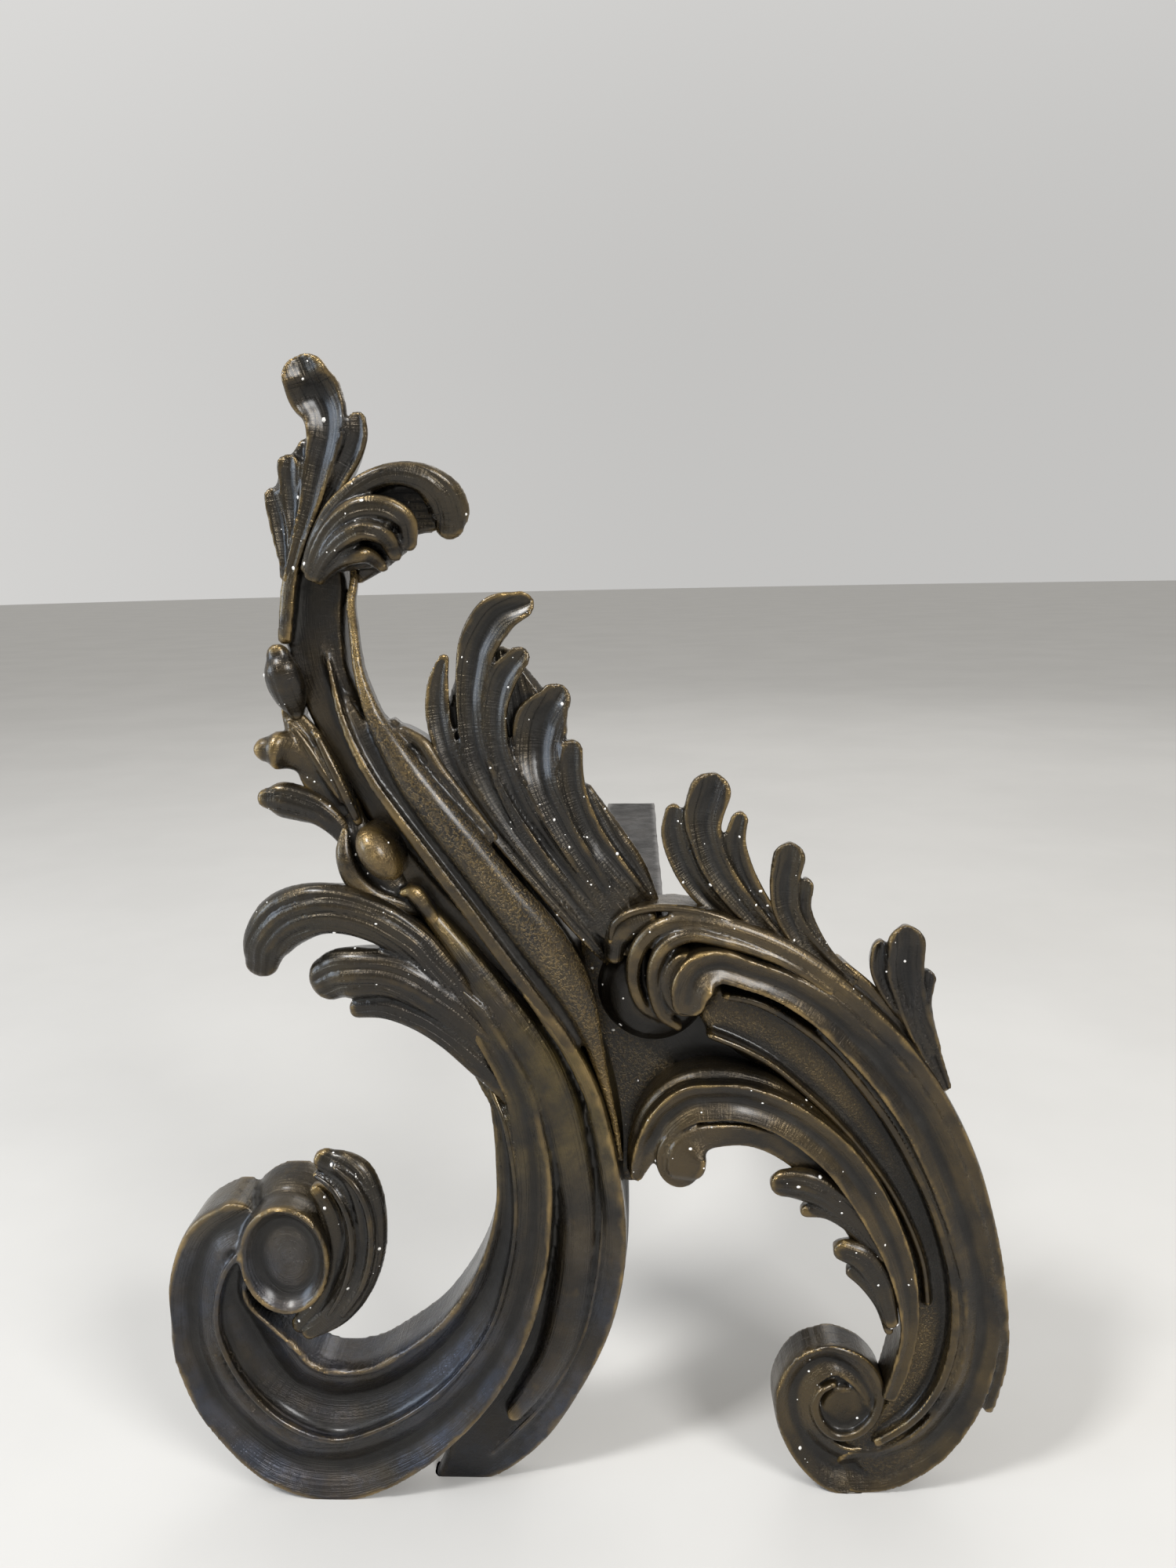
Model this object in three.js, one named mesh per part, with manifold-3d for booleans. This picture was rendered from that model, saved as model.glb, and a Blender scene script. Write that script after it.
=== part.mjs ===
// Cast bronze andiron in the rocaille style, with its iron log bar behind it.
// Millimetres, +Z up. The front lies in the XZ plane and faces -Y; the bar runs back along +Y.
import * as THREE from 'three';
import { mergeVertices } from 'three/addons/utils/BufferGeometryUtils.js';
import Module from 'manifold-3d';

const wasm = await Module();
wasm.setup();

// ---------- driving sizes ----------
const CLEARANCE = 0.3; // joint left between neighbouring castings
const STEP_LENGTH = 8; // longest facet along a moulding
const ROUND_SIDES = 14; // facets round a boss
const FOOT_FLAT = 1; // height filed off the castings where they stand

const SHELL_WALL = 2.4; // wall left when a scroll is hollowed from behind
const BOSS_WIDTH = 26; // rear boss that carries the bar
const BOSS_MARGIN = 1.5; // boss beyond the bar's flange, above and below
const BOSS_BACK_Y = 17;

const BAR_CENTRE_X = -1.8;
const BAR_WIDTH = 18;
const BAR_THICKNESS = 10;
const BAR_TOP_Z = 90;
const BAR_REAR_Y = 253; // rear face of the bent leg
const BAR_BEND_RADIUS = 16; // outside radius where the bar turns down
const BAR_FLANGE_THICKNESS = 5;
const FLANGE_MARGIN = 1.5; // flange round the screw heads
const BAR_EDGE = 1.2; // forged chamfer along the bar

const SCREW_DIAMETER = 5;
const SCREW_HEAD_WIDTH = 7.5;
const SCREW_HEAD_HEIGHT = 3.5;
const SCREW_DEPTH = 5; // length of the screw inside the boss
const SCREW_SPACING = 10;
const SCREW_PLAY = 0.3;

// ---------- moulding sections ----------
// Each section runs across a moulding from -1 to 1; the second value is how far the surface
// lies behind the crest, as a share of the half width.
const SECTIONS = {
  slab: [[-1, 0], [1, 0]],
  flat: [[-1, 0.14], [-0.9, 0], [0.9, 0], [1, 0.14]],
  round: [[-1, 0.8], [-0.62, 0.14], [0, 0], [0.62, 0.14], [1, 0.8]],
  cove: [[-1, 0.24], [-0.84, 0], [0, 0.4], [0.84, 0], [1, 0.24]],
  line: [[-1, 0.7], [0, 0], [1, 0.7]],
  edge: [[-1, 0.5], [0, 0.12], [0.88, 0], [1, 0.22]],
  ribs2: ribbed(2),
  ribs3: ribbed(3),
  ribs4: ribbed(4),
};

// Profiles of the turned bosses, from the rim to the centre: radius share, depth share.
const TURNINGS = {
  dome: [[1, 0.8], [0.86, 0.36], [0.5, 0.08]],
  bowl: [[1, 0.14], [0.93, 0], [0.82, 0.1], [0.5, 0.3]],
  drum: [[1, 0.26], [0.93, 0.06], [0.84, 0]],
};
const CENTRE_DEPTH = { dome: 0, bowl: 0.36, drum: 0 };

function ribbed(count) {
  const points = [];
  for (let i = 0; i <= 2 * count; i += 1) {
    const across = -1 + i / count;
    const arch = 0.75 * (1 - Math.sqrt(1 - 0.85 * across * across));
    const groove = i % 2 === 0 ? 0.16 : 0;
    points.push([across, arch + groove]);
  }
  return points;
}

// ---------- moulding descriptions ----------
// rib: rows of [x, z, half width, crest y] along the middle line.
// band: rows of [left x, left z, right x, right z, crest y] along its two edges.
// boss: [centre x, centre z, half length, half height, crest y] and its tilt in degrees.
const rib = (section, back, ends, rows) => ({ kind: 'rib', section, back, ends, rows });
const band = (section, back, ends, rows) => ({ kind: 'band', section, back, ends, rows });
const boss = (turning, back, size, tilt) => ({ kind: 'boss', turning, back, size, tilt });

const CREST_LEAF = [
  rib('flat', 5, 'open', [
    [-52.3, 198.8, 2.8, -1], [-54.1, 193.3, 4.9, -0.5], [-55.3, 188.3, 4.4, 0],
    [-56.7, 183.2, 2.8, 0], [-58.1, 178.7, 1.4, 0],
  ]),
  rib('cove', 5, 'tip', [
    [-51.8, 210.1, 3.9, -5.5], [-51, 207.7, 4.5, -3.5], [-49.7, 204.7, 3.8, -3],
    [-49.7, 201, 3.2, -3], [-51, 196.8, 2.6, -2.5], [-52.9, 190.6, 1.9, -2.5],
    [-55.1, 184.4, 1.3, -2.5], [-57.5, 178.1, 0.9, -2],
  ]),
  rib('cove', 5, 'tip', [
    [-56.1, 196.4, 2, -2.5], [-56.3, 193.9, 1.8, -2], [-56.2, 190.1, 1.6, -1.5],
    [-56.1, 185.7, 1.2, -1.5], [-57.1, 181.3, 0.8, -1],
  ]),
  rib('cove', 5, 'tip', [
    [-59.4, 191.8, 1.4, -1.5], [-58.9, 189, 1.7, -1.2], [-58.4, 185.1, 1.6, -1],
    [-58.1, 180.6, 1, -1],
  ]),
  rib('cove', 5, 'tip', [
    [-44.3, 203.3, 1.5, -2.5], [-44.5, 200.9, 1.8, -2.5], [-45.9, 197.7, 1.8, -2],
    [-47.9, 194.3, 1.5, -2], [-50.9, 190, 1.3, -1.5], [-53.8, 185, 0.9, -1.5],
  ]),
];

const CREST_CURL = [
  rib('ribs3', 5, 'tip', [
    [-30.3, 186.7, 2.6, -1], [-30.2, 188.4, 3.5, -2], [-31, 191.3, 3.4, -3.5],
    [-34, 193.9, 2.5, -4.5], [-38.7, 194.6, 1.9, -5], [-43.9, 192.8, 1.8, -5],
    [-48.6, 189.2, 1.7, -4.5], [-51.9, 184.5, 1.3, -4], [-54.2, 179.9, 0.9, -3],
  ]),
  rib('flat', 5, 'open', [
    [-50.6, 184.3, 2.4, 0], [-46.5, 188.1, 4.4, 0.5], [-40, 189.3, 5.2, 1],
    [-34.1, 189.2, 3.9, 1.5],
  ]),
  rib('ribs4', 5, 'tip', [
    [-38.3, 183.3, 2.6, -2], [-39.2, 185, 4.3, -5], [-42.3, 185.7, 4.8, -8], [-47, 184.8, 3.8, -8],
    [-51.1, 182.4, 2.2, -6], [-53.5, 178.6, 0.9, -4],
  ]),
  rib('round', 5, 'tip', [
    [-39.6, 184.1, 2.8, -2], [-43, 181, 2.1, -0.5], [-46.4, 178.3, 1.2, 1],
  ]),
];

const SCROLL_UPPER = [
  rib('flat', 9, 'open', [
    [-53.1, 181.2, 4.5, 1], [-53.5, 177.3, 6, 1], [-54.1, 172.1, 6.1, 1], [-53.4, 166.7, 5.9, 1],
    [-51.9, 160.7, 5.6, 1], [-49.3, 153.1, 5.7, 1.5], [-44.1, 144.7, 7.4, 2],
    [-38.2, 136.2, 8.3, 2], [-31.6, 126.9, 8.9, 2], [-24.5, 116.8, 9.2, 2], [-18, 106.8, 8.7, 2],
    [-14.5, 99.3, 7.4, 2],
  ]),
  rib('edge', 9, 'open', [
    [-56.6, 180.4, 1.2, -2], [-57.6, 176.8, 1.3, -2], [-58.3, 172.3, 1.3, -2],
    [-59, 168.3, 1.2, -1.5],
  ]),
  rib('round', 9, 'open', [
    [-47.5, 174.2, 0.8, -1], [-47.3, 170, 0.8, -1], [-46.7, 163.5, 0.9, -2], [-45.5, 159, 1.2, -3],
    [-43.9, 154.6, 1.6, -3.5], [-41.3, 150.1, 2.2, -4.5], [-37.5, 143.9, 3, -5.5],
    [-32.7, 137.2, 3.4, -6], [-28.1, 131, 3.6, -6], [-23.6, 124.8, 3.7, -6],
    [-17.4, 116.4, 4.2, -6], [-13, 109.4, 3.8, -5.5], [-10.5, 103.7, 3, -4.5],
  ]),
  rib('line', 9, 'open', [
    [-39.6, 152.5, 0.8, -2], [-36.2, 150.1, 1.1, -2.5], [-33.4, 145.3, 0.9, -2.5],
    [-29.4, 139.9, 0.8, -2], [-24.6, 133.4, 0.8, -1.5],
  ]),
  rib('edge', 9, 'open', [
    [-51.6, 164.9, 0.5, -1.5], [-50.7, 160.4, 0.7, -3], [-49.2, 154.5, 0.8, -4],
    [-46, 146.5, 0.9, -4.5], [-41.8, 139.5, 0.9, -4.5], [-36.7, 131.9, 1.1, -4.5],
    [-29.8, 121.9, 1.2, -4.5], [-23.3, 112.3, 1.2, -4.5], [-17.1, 103.4, 1.2, -4.5],
  ]),
  rib('round', 9, 'open', [
    [-34.6, 118.1, 1, -2], [-29.6, 111.5, 1.4, -3], [-24.9, 105, 1.7, -3], [-21.4, 100.2, 1.8, -3],
  ]),
];

const BUD_UPPER = [
  rib('round', 6, 'tip', [
    [-59.5, 166.2, 2, -3], [-60, 163.9, 2.5, -4], [-59.7, 161.2, 2.8, -3], [-59.2, 158.3, 2.5, -1],
    [-58.5, 156, 1.6, 0],
  ]),
];

const BUD_MIDDLE = [
  rib('round', 6, 'tip', [
    [-62.8, 149.6, 2.3, -3.5], [-61.1, 149.4, 3.5, -4], [-58.7, 148.5, 3.2, -2],
    [-56.1, 146.1, 2.2, -1], [-53.4, 142, 1.1, 0],
  ]),
  rib('line', 6, 'tip', [
    [-59, 153.6, 0.7, -1], [-56.1, 149.6, 0.8, -1.5], [-53.4, 144.8, 0.8, -1.5],
    [-50.7, 140.2, 0.7, -1],
  ]),
  rib('line', 6, 'tip', [
    [-54.7, 151.8, 0.7, -1], [-52.3, 146.9, 0.9, -2], [-50, 141.4, 0.9, -2],
    [-48.3, 136.3, 0.7, -1],
  ]),
];

const HUSK_LEAF = [
  rib('ribs3', 6, 'tip', [
    [-63.8, 140.8, 1.9, -1.5], [-61.7, 140.6, 3.2, -2], [-58.2, 139.7, 3.2, -2],
    [-54.9, 138.3, 2.6, -2], [-52.1, 135.6, 2, -1.5], [-50.4, 132.4, 1.2, -1],
  ]),
];

const BERRY = [
  boss('dome', 5, [-45.1, 131.6, 5, 2.9, -6.5], 53),
];

const BERRY_CUP = [
  rib('round', 6, 'tip', [
    [-50.6, 132.4, 0.8, -1], [-51, 128.9, 1.5, -2], [-49.5, 125.4, 1.6, -2],
    [-46.1, 122.8, 1.6, -2], [-42, 121.6, 1.4, -2], [-38.3, 120.3, 1, -1.5],
  ]),
  rib('round', 6, 'tip', [
    [-40.7, 124, 0.8, -2.5], [-38.9, 123.8, 1.6, -3], [-36.6, 120.4, 1.4, -2.5],
    [-34, 116.4, 1.1, -2], [-31, 111.7, 1, -1],
  ]),
];

const SIDE_LEAF = [
  rib('ribs4', 7, 'tip', [
    [-26.5, 97.4, 1.7, -2], [-32.8, 107, 3, -4], [-39.8, 115.6, 3.7, -5],
    [-47.6, 120.3, 4.2, -5.5], [-55, 121.6, 4.7, -5.5], [-61.6, 119.4, 5.2, -4.5],
    [-65.9, 114.8, 4.4, -3], [-67.3, 110.7, 3.1, -1.5],
  ]),
  rib('ribs3', 7, 'tip', [
    [-25.2, 93.2, 1.5, -2.5], [-29.7, 98.9, 2.6, -4], [-34.8, 104.2, 3.3, -5],
    [-42.6, 109.3, 4.1, -6], [-51, 109.7, 4.8, -5.5], [-54.9, 108.3, 4.1, -4],
  ]),
  rib('ribs2', 7, 'tip', [
    [-24.7, 86.8, 1.7, -2.5], [-29.3, 92.8, 2.2, -3.5], [-33.9, 97.7, 2.4, -4],
    [-39.3, 101.1, 2.1, -4], [-44.9, 102.4, 1.7, -3.5], [-50, 102, 1.5, -2.5],
  ]),
];

const SCROLL_LOWER = [
  band('flat', 11, 'open', [
    [-26.7, 93.8, -8.9, 100.5, 2], [-23.1, 86.2, -5.6, 91.4, 2], [-20.3, 77.5, -3.8, 82.1, 2.5],
    [-18.9, 67.8, -2.8, 72.5, 3], [-18.6, 57.9, -2.3, 62.7, 3.5], [-19.3, 47, -2.8, 51.1, 4],
    [-21.8, 37, -4.8, 40.4, 4], [-25.9, 28.6, -8.3, 30.4, 4], [-31.6, 19.6, -14.3, 19.7, 4.5],
    [-38.2, 11.3, -23.2, 9.7, 5],
  ]),
  rib('edge', 12, 'open', [
    [-16.1, 100.8, 1.2, -4], [-10.7, 93.6, 1.4, -3.5], [-8.3, 84.7, 1.5, -3],
    [-6.1, 73.6, 1.7, -2], [-5, 63.8, 1.9, -1], [-4.9, 53.7, 2, 0], [-6.6, 43.3, 2.2, 1],
    [-9.5, 34, 2.4, 2], [-14.1, 24.3, 2.6, 3], [-20.2, 14.4, 2.8, 4], [-27.1, 5.6, 2.6, 5.2],
  ]),
  rib('round', 9, 'open', [
    [-20.4, 98.4, 1.8, -3], [-17.2, 91.9, 1.9, -3], [-14.6, 84.2, 2.1, -2.5],
    [-12.5, 76.4, 2.1, -1.5], [-11.5, 67.9, 1.9, 0], [-11.1, 59.1, 1.6, 1.5],
  ]),
  rib('round', 11, 'tip', [
    [-10, 45.5, 0.9, 2.5], [-12.7, 36, 1.2, 2], [-17.4, 28.4, 1.4, 2], [-22.1, 21.6, 1.5, 2],
    [-25.1, 18.1, 1.5, 1.5],
  ]),
  rib('cove', 9, 'open', [
    [-24.4, 93.4, 2.2, -3], [-21.6, 87.2, 2.7, -3.5], [-20.3, 80.5, 2.8, -3.5],
    [-19.4, 71.4, 3.3, -3.5], [-19.7, 62.1, 3.4, -3.5], [-21.3, 50.8, 3.6, -3],
    [-24.8, 39.5, 3.9, -3], [-30.9, 28.4, 4.6, -2.5], [-39.1, 18.7, 5.1, -2],
    [-48.9, 11.2, 6.2, -1.3], [-59.7, 6.9, 6.9, -0.6], [-70.5, 9.7, 6.2, -1],
    [-80.3, 20.3, 5.1, -1.5], [-84.7, 31.8, 4.6, -2], [-85.3, 40.1, 4.3, -2],
    [-84.4, 48.4, 4.6, -2.2], [-80.9, 56.9, 4.5, -2.5], [-75.5, 60.8, 4.1, -2],
  ]),
  band('cove', 9, 'open', [
    [-27, 82.5, -24.2, 83.3, -1.5], [-26.4, 70.6, -23.1, 70.6, -2.2],
    [-27, 62.9, -23.1, 62.1, -2.2], [-29.5, 54.1, -24.5, 51.7, -2], [-33.5, 46.5, -27.8, 41.2, -2],
    [-38.6, 39.9, -33.8, 31.7, -1.8], [-45.2, 34.7, -41.2, 23.7, -1.5],
    [-52.1, 30.7, -50.3, 17.7, -1.3], [-59, 29.9, -61, 14.6, -1], [-63, 31.5, -69.9, 18.3, -1],
    [-64.8, 33.8, -76.4, 25.2, -1], [-66.9, 35.8, -80.2, 34.1, -1], [-70.4, 39.3, -80.5, 42, -1.2],
    [-74, 43.4, -79.2, 47.9, -1.5], [-74.8, 50.7, -75.8, 53.8, -2],
  ]),
  rib('line', 9, 'open', [
    [-24, 80.7, 0.4, -4], [-22.9, 71.6, 0.4, -4], [-22.9, 62.4, 0.4, -4], [-24.4, 53, 0.4, -4],
    [-27.9, 41.4, 0.4, -3.5], [-33.6, 32.2, 0.4, -3.2], [-40.9, 24.4, 0.4, -2.8],
    [-49.5, 18.7, 0.4, -2.5], [-59.6, 15.3, 0.6, -2.2], [-68.9, 19, 0.6, -2.2],
    [-75.9, 26.7, 0.6, -2.2], [-79.8, 36.3, 0.6, -2.5], [-80, 43.9, 0.6, -2.8],
    [-77.9, 50.9, 0.6, -3], [-74.5, 55.5, 0.6, -3.2],
  ]),
  boss('bowl', 9, [-66.3, 53.9, 8.7, 11.3, -3.5], 0),
];

const VOLUTE_SHELL = [
  rib('ribs3', 7, 'tip', [
    [-57, 72.7, 2.4, -2.5], [-53.1, 70.1, 4, -4], [-51, 64.5, 4, -4.5], [-50.9, 56.1, 3.5, -4],
    [-53.3, 48.2, 3.1, -3], [-57.4, 41.9, 2.4, -2], [-63.1, 37.3, 1.2, -1],
  ]),
];

const MID_LEAF = [
  rib('flat', 5, 'open', [
    [-24.8, 163, 5.6, 0], [-23.2, 153.6, 10.2, 0], [-21.6, 145.4, 9.7, 0], [-17.8, 137.1, 9, 0],
    [-12.3, 128.6, 7.9, 0], [-7, 121.5, 6.3, 0], [-3.5, 116.9, 3.6, 0],
  ]),
  rib('cove', 5, 'tip', [
    [-18.7, 173.2, 2.4, -4], [-22.7, 171.5, 3.6, -4], [-25.8, 167.2, 3.4, -3.5],
    [-27.1, 162.6, 2.9, -3], [-27.8, 156.7, 2.4, -3], [-27.4, 150.7, 2.3, -3],
    [-25.7, 144.6, 2.3, -3], [-22.2, 137.8, 2.1, -3], [-17.7, 130.9, 1.9, -3],
    [-11.9, 123, 1.5, -2.5], [-7.3, 116.4, 1.1, -2],
  ]),
  rib('cove', 5, 'tip', [
    [-31.9, 164.4, 1, -2.5], [-33, 160.7, 1.8, -2.5], [-33.3, 155.4, 2.2, -2.5],
    [-32.1, 149.4, 2.1, -3], [-29.7, 143.3, 1.9, -3], [-25.9, 137.2, 1.6, -3],
    [-20.5, 129.9, 1.3, -3], [-14.6, 122.5, 1.2, -3], [-8.4, 114.8, 0.8, -2.5],
  ]),
  rib('cove', 5, 'tip', [
    [-19.3, 164.5, 2, -3.5], [-22.1, 161.1, 2.6, -3], [-23.5, 156, 2.2, -3],
    [-23.5, 150.7, 2.1, -3], [-22.4, 145.3, 2.3, -3], [-19.7, 138.4, 2.3, -3],
    [-15.9, 132.1, 2, -2.5], [-11.4, 126.2, 1.6, -2.5], [-6.6, 119, 1.2, -2],
  ]),
  rib('cove', 5, 'tip', [
    [-13.5, 157.3, 2.9, -3], [-15.8, 153.5, 4.8, -2.5], [-16.6, 148.7, 4.1, -2.5],
    [-15.8, 142.8, 3.1, -2.5], [-13.4, 136.6, 2.5, -2.5], [-10, 130.4, 2.2, -2.5],
    [-5.1, 122.8, 1.5, -2],
  ]),
  rib('cove', 5, 'tip', [
    [-10.7, 148.7, 1.9, -3], [-10.8, 144.4, 2.1, -3], [-9.9, 139.7, 2.1, -3],
    [-7.6, 134.1, 2.1, -2.5], [-4.1, 128.9, 1.9, -2.5], [0.7, 123, 1.2, -2],
  ]),
];

const SCROLL_HEAD = [
  rib('flat', 5, 'open', [
    [-3, 114.4, 1.4, 1.5], [0.2, 116.7, 2.8, 1.5], [5.1, 116.4, 3.3, 1.5], [11.3, 115.4, 3, 1.5],
    [17.5, 114.2, 1.7, 1.5],
  ]),
  rib('line', 5, 'tip', [
    [-4.6, 115, 0.5, -2], [-3.7, 118.4, 0.5, -3], [-0.9, 120.5, 0.5, -3.5], [3.6, 121, 0.5, -3.5],
    [8.7, 120.8, 0.5, -3.5], [13.7, 119.5, 0.5, -3.5], [18.5, 117.4, 0.5, -3],
  ]),
  rib('line', 5, 'tip', [
    [-1.6, 115.5, 0.5, -2], [-0.2, 118.4, 0.5, -3], [1.9, 120.1, 0.5, -3],
  ]),
  rib('line', 5, 'tip', [
    [5, 117.5, 0.5, -3], [5.8, 119.5, 0.5, -3], [6.1, 120.4, 0.4, -3],
  ]),
  boss('drum', 8, [5.6, 107.5, 8.2, 8.5, -2], 0),
  boss('drum', 8, [6.7, 107.9, 7.2, 7.6, -4.5], 0),
  boss('drum', 8, [8.3, 108.6, 5.1, 6.7, -7], 0),
  boss('bowl', 8, [9.8, 109, 3.3, 6, -9], 8),
];

const C_SCROLL = [
  rib('flat', 10, 'open', [
    [15.6, 103.2, 7.3, 3], [22.6, 99.1, 9.3, 3], [29, 95.4, 9.6, 3], [35.4, 90.1, 10.2, 3],
    [41.9, 83.2, 10.6, 3], [47.8, 74, 10.9, 3], [53.1, 63.1, 10.4, 3], [56.7, 51.9, 10.2, 3],
    [58.9, 40.6, 9.7, 3], [58.5, 29.9, 8.9, 3], [55.1, 20.7, 8.4, 3], [49.4, 13, 7.5, 3],
    [42.9, 7.8, 6.4, 3.5],
  ]),
  rib('cove', 9.5, 'open', [
    [12.2, 110.6, 3.2, -6], [18.3, 109.5, 2.8, -5.5], [25, 107, 2.8, -5], [31.9, 102.5, 3.1, -4.5],
    [38.1, 96.5, 3.4, -4], [44.5, 89.2, 3.7, -3.5], [50.4, 80.1, 3.7, -3], [55.3, 69.3, 3.6, -2.5],
    [59, 59, 3.5, -2], [61.6, 48.5, 3.4, -1.5], [62.7, 38.6, 3.5, -1], [61.8, 29.6, 3.6, -1],
    [59.1, 20.4, 4, 0.2], [53.8, 12, 4.5, 1.2], [46.7, 6.6, 5, 2.2], [40.8, 5.6, 5, 2.5],
  ]),
  rib('edge', 8, 'open', [
    [12.4, 114.9, 0.9, -3], [19.8, 114.1, 1.2, -3.5], [27.1, 110.9, 1.8, -4],
    [34.6, 105.4, 2.2, -4], [41.9, 98.3, 2.6, -3.5], [48.2, 90.2, 2.9, -3],
    [53.6, 81.3, 2.9, -2.5], [58.1, 71.7, 2.7, -2], [61.8, 61.8, 2, -1.5], [64.6, 51.7, 1.4, -1.5],
    [66.5, 41, 1, -1], [67.1, 31, 0.9, 0], [65.2, 20.7, 1, 1],
  ]),
  rib('line', 9, 'open', [
    [15.2, 104.5, 0.7, -2], [20.7, 103.3, 0.8, -2], [26.9, 99.7, 0.8, -1.5],
    [33.2, 94.7, 0.8, -1.5], [38.8, 88.3, 1, -1.5], [44.3, 80.6, 1, -1], [49.4, 71.5, 1, -1],
    [53.5, 62.3, 1, -1], [56.5, 52.6, 1, -0.5], [58, 43, 1, -0.5], [57.7, 34.1, 1, -0.5],
    [55.4, 25.5, 0.9, 0], [50.9, 18.4, 0.9, 0.5], [44.5, 13.2, 0.9, 1],
  ]),
  rib('line', 9, 'open', [
    [12.5, 96.4, 0.6, 0], [18.1, 94, 0.6, 0], [23.8, 90.5, 0.6, 0.5], [29.4, 85.6, 0.6, 0.5],
    [35.1, 79.9, 0.6, 0.5], [40.3, 73.5, 0.6, 1], [45.4, 66.1, 0.6, 1], [49.3, 58.4, 0.6, 1.5],
    [52.1, 50.5, 0.6, 1.5], [53.2, 42.4, 0.6, 1.5],
  ]),
];

const FOOT_VOLUTE = [
  boss('drum', 9.5, [35.5, 16.2, 9.1, 12.1, 4.5], 0),
  band('cove', 9.5, 'open', [
    [39.8, 11.3, 40.6, -0.1, 2.4], [36.8, 12.5, 34.5, 1.7, 2.4], [34, 15.6, 29, 7.7, 2.3],
    [32.4, 19.4, 25.6, 15.6, 2.2], [32.7, 23.5, 25.2, 23.4, 2.2], [34.7, 25.8, 28.7, 30.3, 2.2],
    [36.8, 26.5, 34.3, 32.7, 2.2], [39.2, 24.8, 40, 30.1, 2.3], [41.4, 22.3, 43.5, 25.3, 2.5],
    [43, 19.4, 44.9, 19.7, 2.8],
  ]),
  rib('line', 9.5, 'tip', [
    [33.4, 23.6, 0.6, 3.4], [32.8, 19.9, 0.8, 2.6], [34.6, 15.5, 0.8, 2.5], [38.8, 13.4, 0.9, 2.5],
    [42.7, 15.5, 0.9, 2.5], [44.5, 20.3, 0.7, 2.5],
  ]),
  boss('bowl', 9.5, [38.9, 19, 5.1, 5.1, 3.2], 0),
];

const SPRIG_UPPER = [
  rib('cove', 6, 'tip', [
    [12.6, 141.1, 3.7, -3], [11.5, 137, 3.5, -2.5], [11.8, 133.1, 2.9, -2.5],
    [13.4, 128.4, 2.7, -2.5], [16.5, 123.4, 2.4, -2.5], [21, 117.9, 1.9, -2], [26, 112.6, 1.2, -2],
  ]),
  rib('cove', 6, 'tip', [
    [6.4, 137.4, 1.6, -1.5], [6.2, 133.7, 2, -1.5], [7.5, 129.1, 2, -1.5],
    [10.2, 124.2, 1.9, -1.5], [14.3, 119.5, 1.5, -1.5], [18.9, 115.3, 1, -1],
  ]),
  rib('cove', 6, 'tip', [
    [17.6, 136, 1.6, -2], [16.9, 132.4, 1.9, -2], [17.7, 127.9, 2.2, -2], [19.6, 123.5, 2.2, -2],
    [22.9, 118.6, 1.8, -1.5], [27.4, 112.8, 1.2, -1.5],
  ]),
];

const SPRIG_MIDDLE = [
  rib('cove', 6, 'tip', [
    [26, 129.3, 2.9, -3], [25.4, 124.6, 2.6, -2], [25.8, 120.1, 2.4, -2], [28, 115.6, 2.2, -2],
    [31.9, 111, 1.8, -2], [36.6, 106.2, 1.2, -1.5],
  ]),
  rib('cove', 6, 'tip', [
    [29.1, 124.1, 1.5, -1.5], [28.6, 120.2, 1.6, -1.5], [30, 115.7, 1.8, -1.5],
    [33, 111.1, 1.6, -1.5], [37.7, 107, 1.1, -1.5],
  ]),
];

const SPRIG_LOWER = [
  rib('cove', 6, 'tip', [
    [42.2, 112.7, 1.6, -1.5], [42, 109.3, 1.6, -1.5], [43.4, 105.6, 1.6, -1.5],
    [46.3, 101.1, 1.5, -1.5],
  ]),
  rib('cove', 6, 'tip', [
    [46.4, 113.8, 3.4, -3], [46.5, 108.9, 3.4, -2], [47.4, 104.3, 2.9, -2], [48.9, 99.4, 2.5, -2],
    [51.4, 93.5, 1.9, -1.5], [54.1, 87.1, 1.2, -1.5],
  ]),
  rib('cove', 6, 'tip', [
    [50.4, 107.2, 1.6, -1.5], [49.8, 103.2, 1.6, -1.5], [50.3, 98.9, 1.7, -1.5],
    [51.9, 94.2, 1.4, -1.5],
  ]),
];

const INNER_SCROLL = [
  boss('drum', 9, [6.2, 75, 5.9, 6.7, -4], 0),
  boss('dome', 9, [7.9, 74.9, 3.9, 4.7, -5.5], 0),
  rib('cove', 9, 'tip', [
    [4.6, 80.7, 3.6, -4], [9.5, 84, 3.6, -4], [15.8, 84.2, 3.8, -3.5], [22, 82.6, 3.8, -3],
    [28.4, 79, 3.8, -2.5], [34.4, 73.6, 3.7, -2], [39.8, 67.2, 3.4, -2], [44.3, 59.4, 3.1, -1.5],
    [47.5, 51.3, 2.6, -1], [49.3, 43, 2, -0.5], [49.6, 36.2, 1.6, 0], [48.4, 29.2, 1.6, 0.5],
    [46.6, 23, 1.3, 1],
  ]),
  rib('line', 9, 'tip', [
    [-0.8, 70, 0.9, -1], [-0.2, 75.1, 1, -2], [2.1, 80.2, 1, -3], [6.1, 84.2, 1, -3.5],
    [11.6, 86, 1, -3.5],
  ]),
  rib('flat', 9, 'open', [
    [13.6, 75.8, 2, 1], [19.7, 75.8, 2, 1], [26.1, 73.8, 2.3, 1], [32.6, 69.4, 3.2, 1.5],
    [39.3, 61.3, 3.8, 2], [43.8, 52.5, 3.2, 2], [46.6, 44.5, 2.6, 2],
  ]),
];

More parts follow.
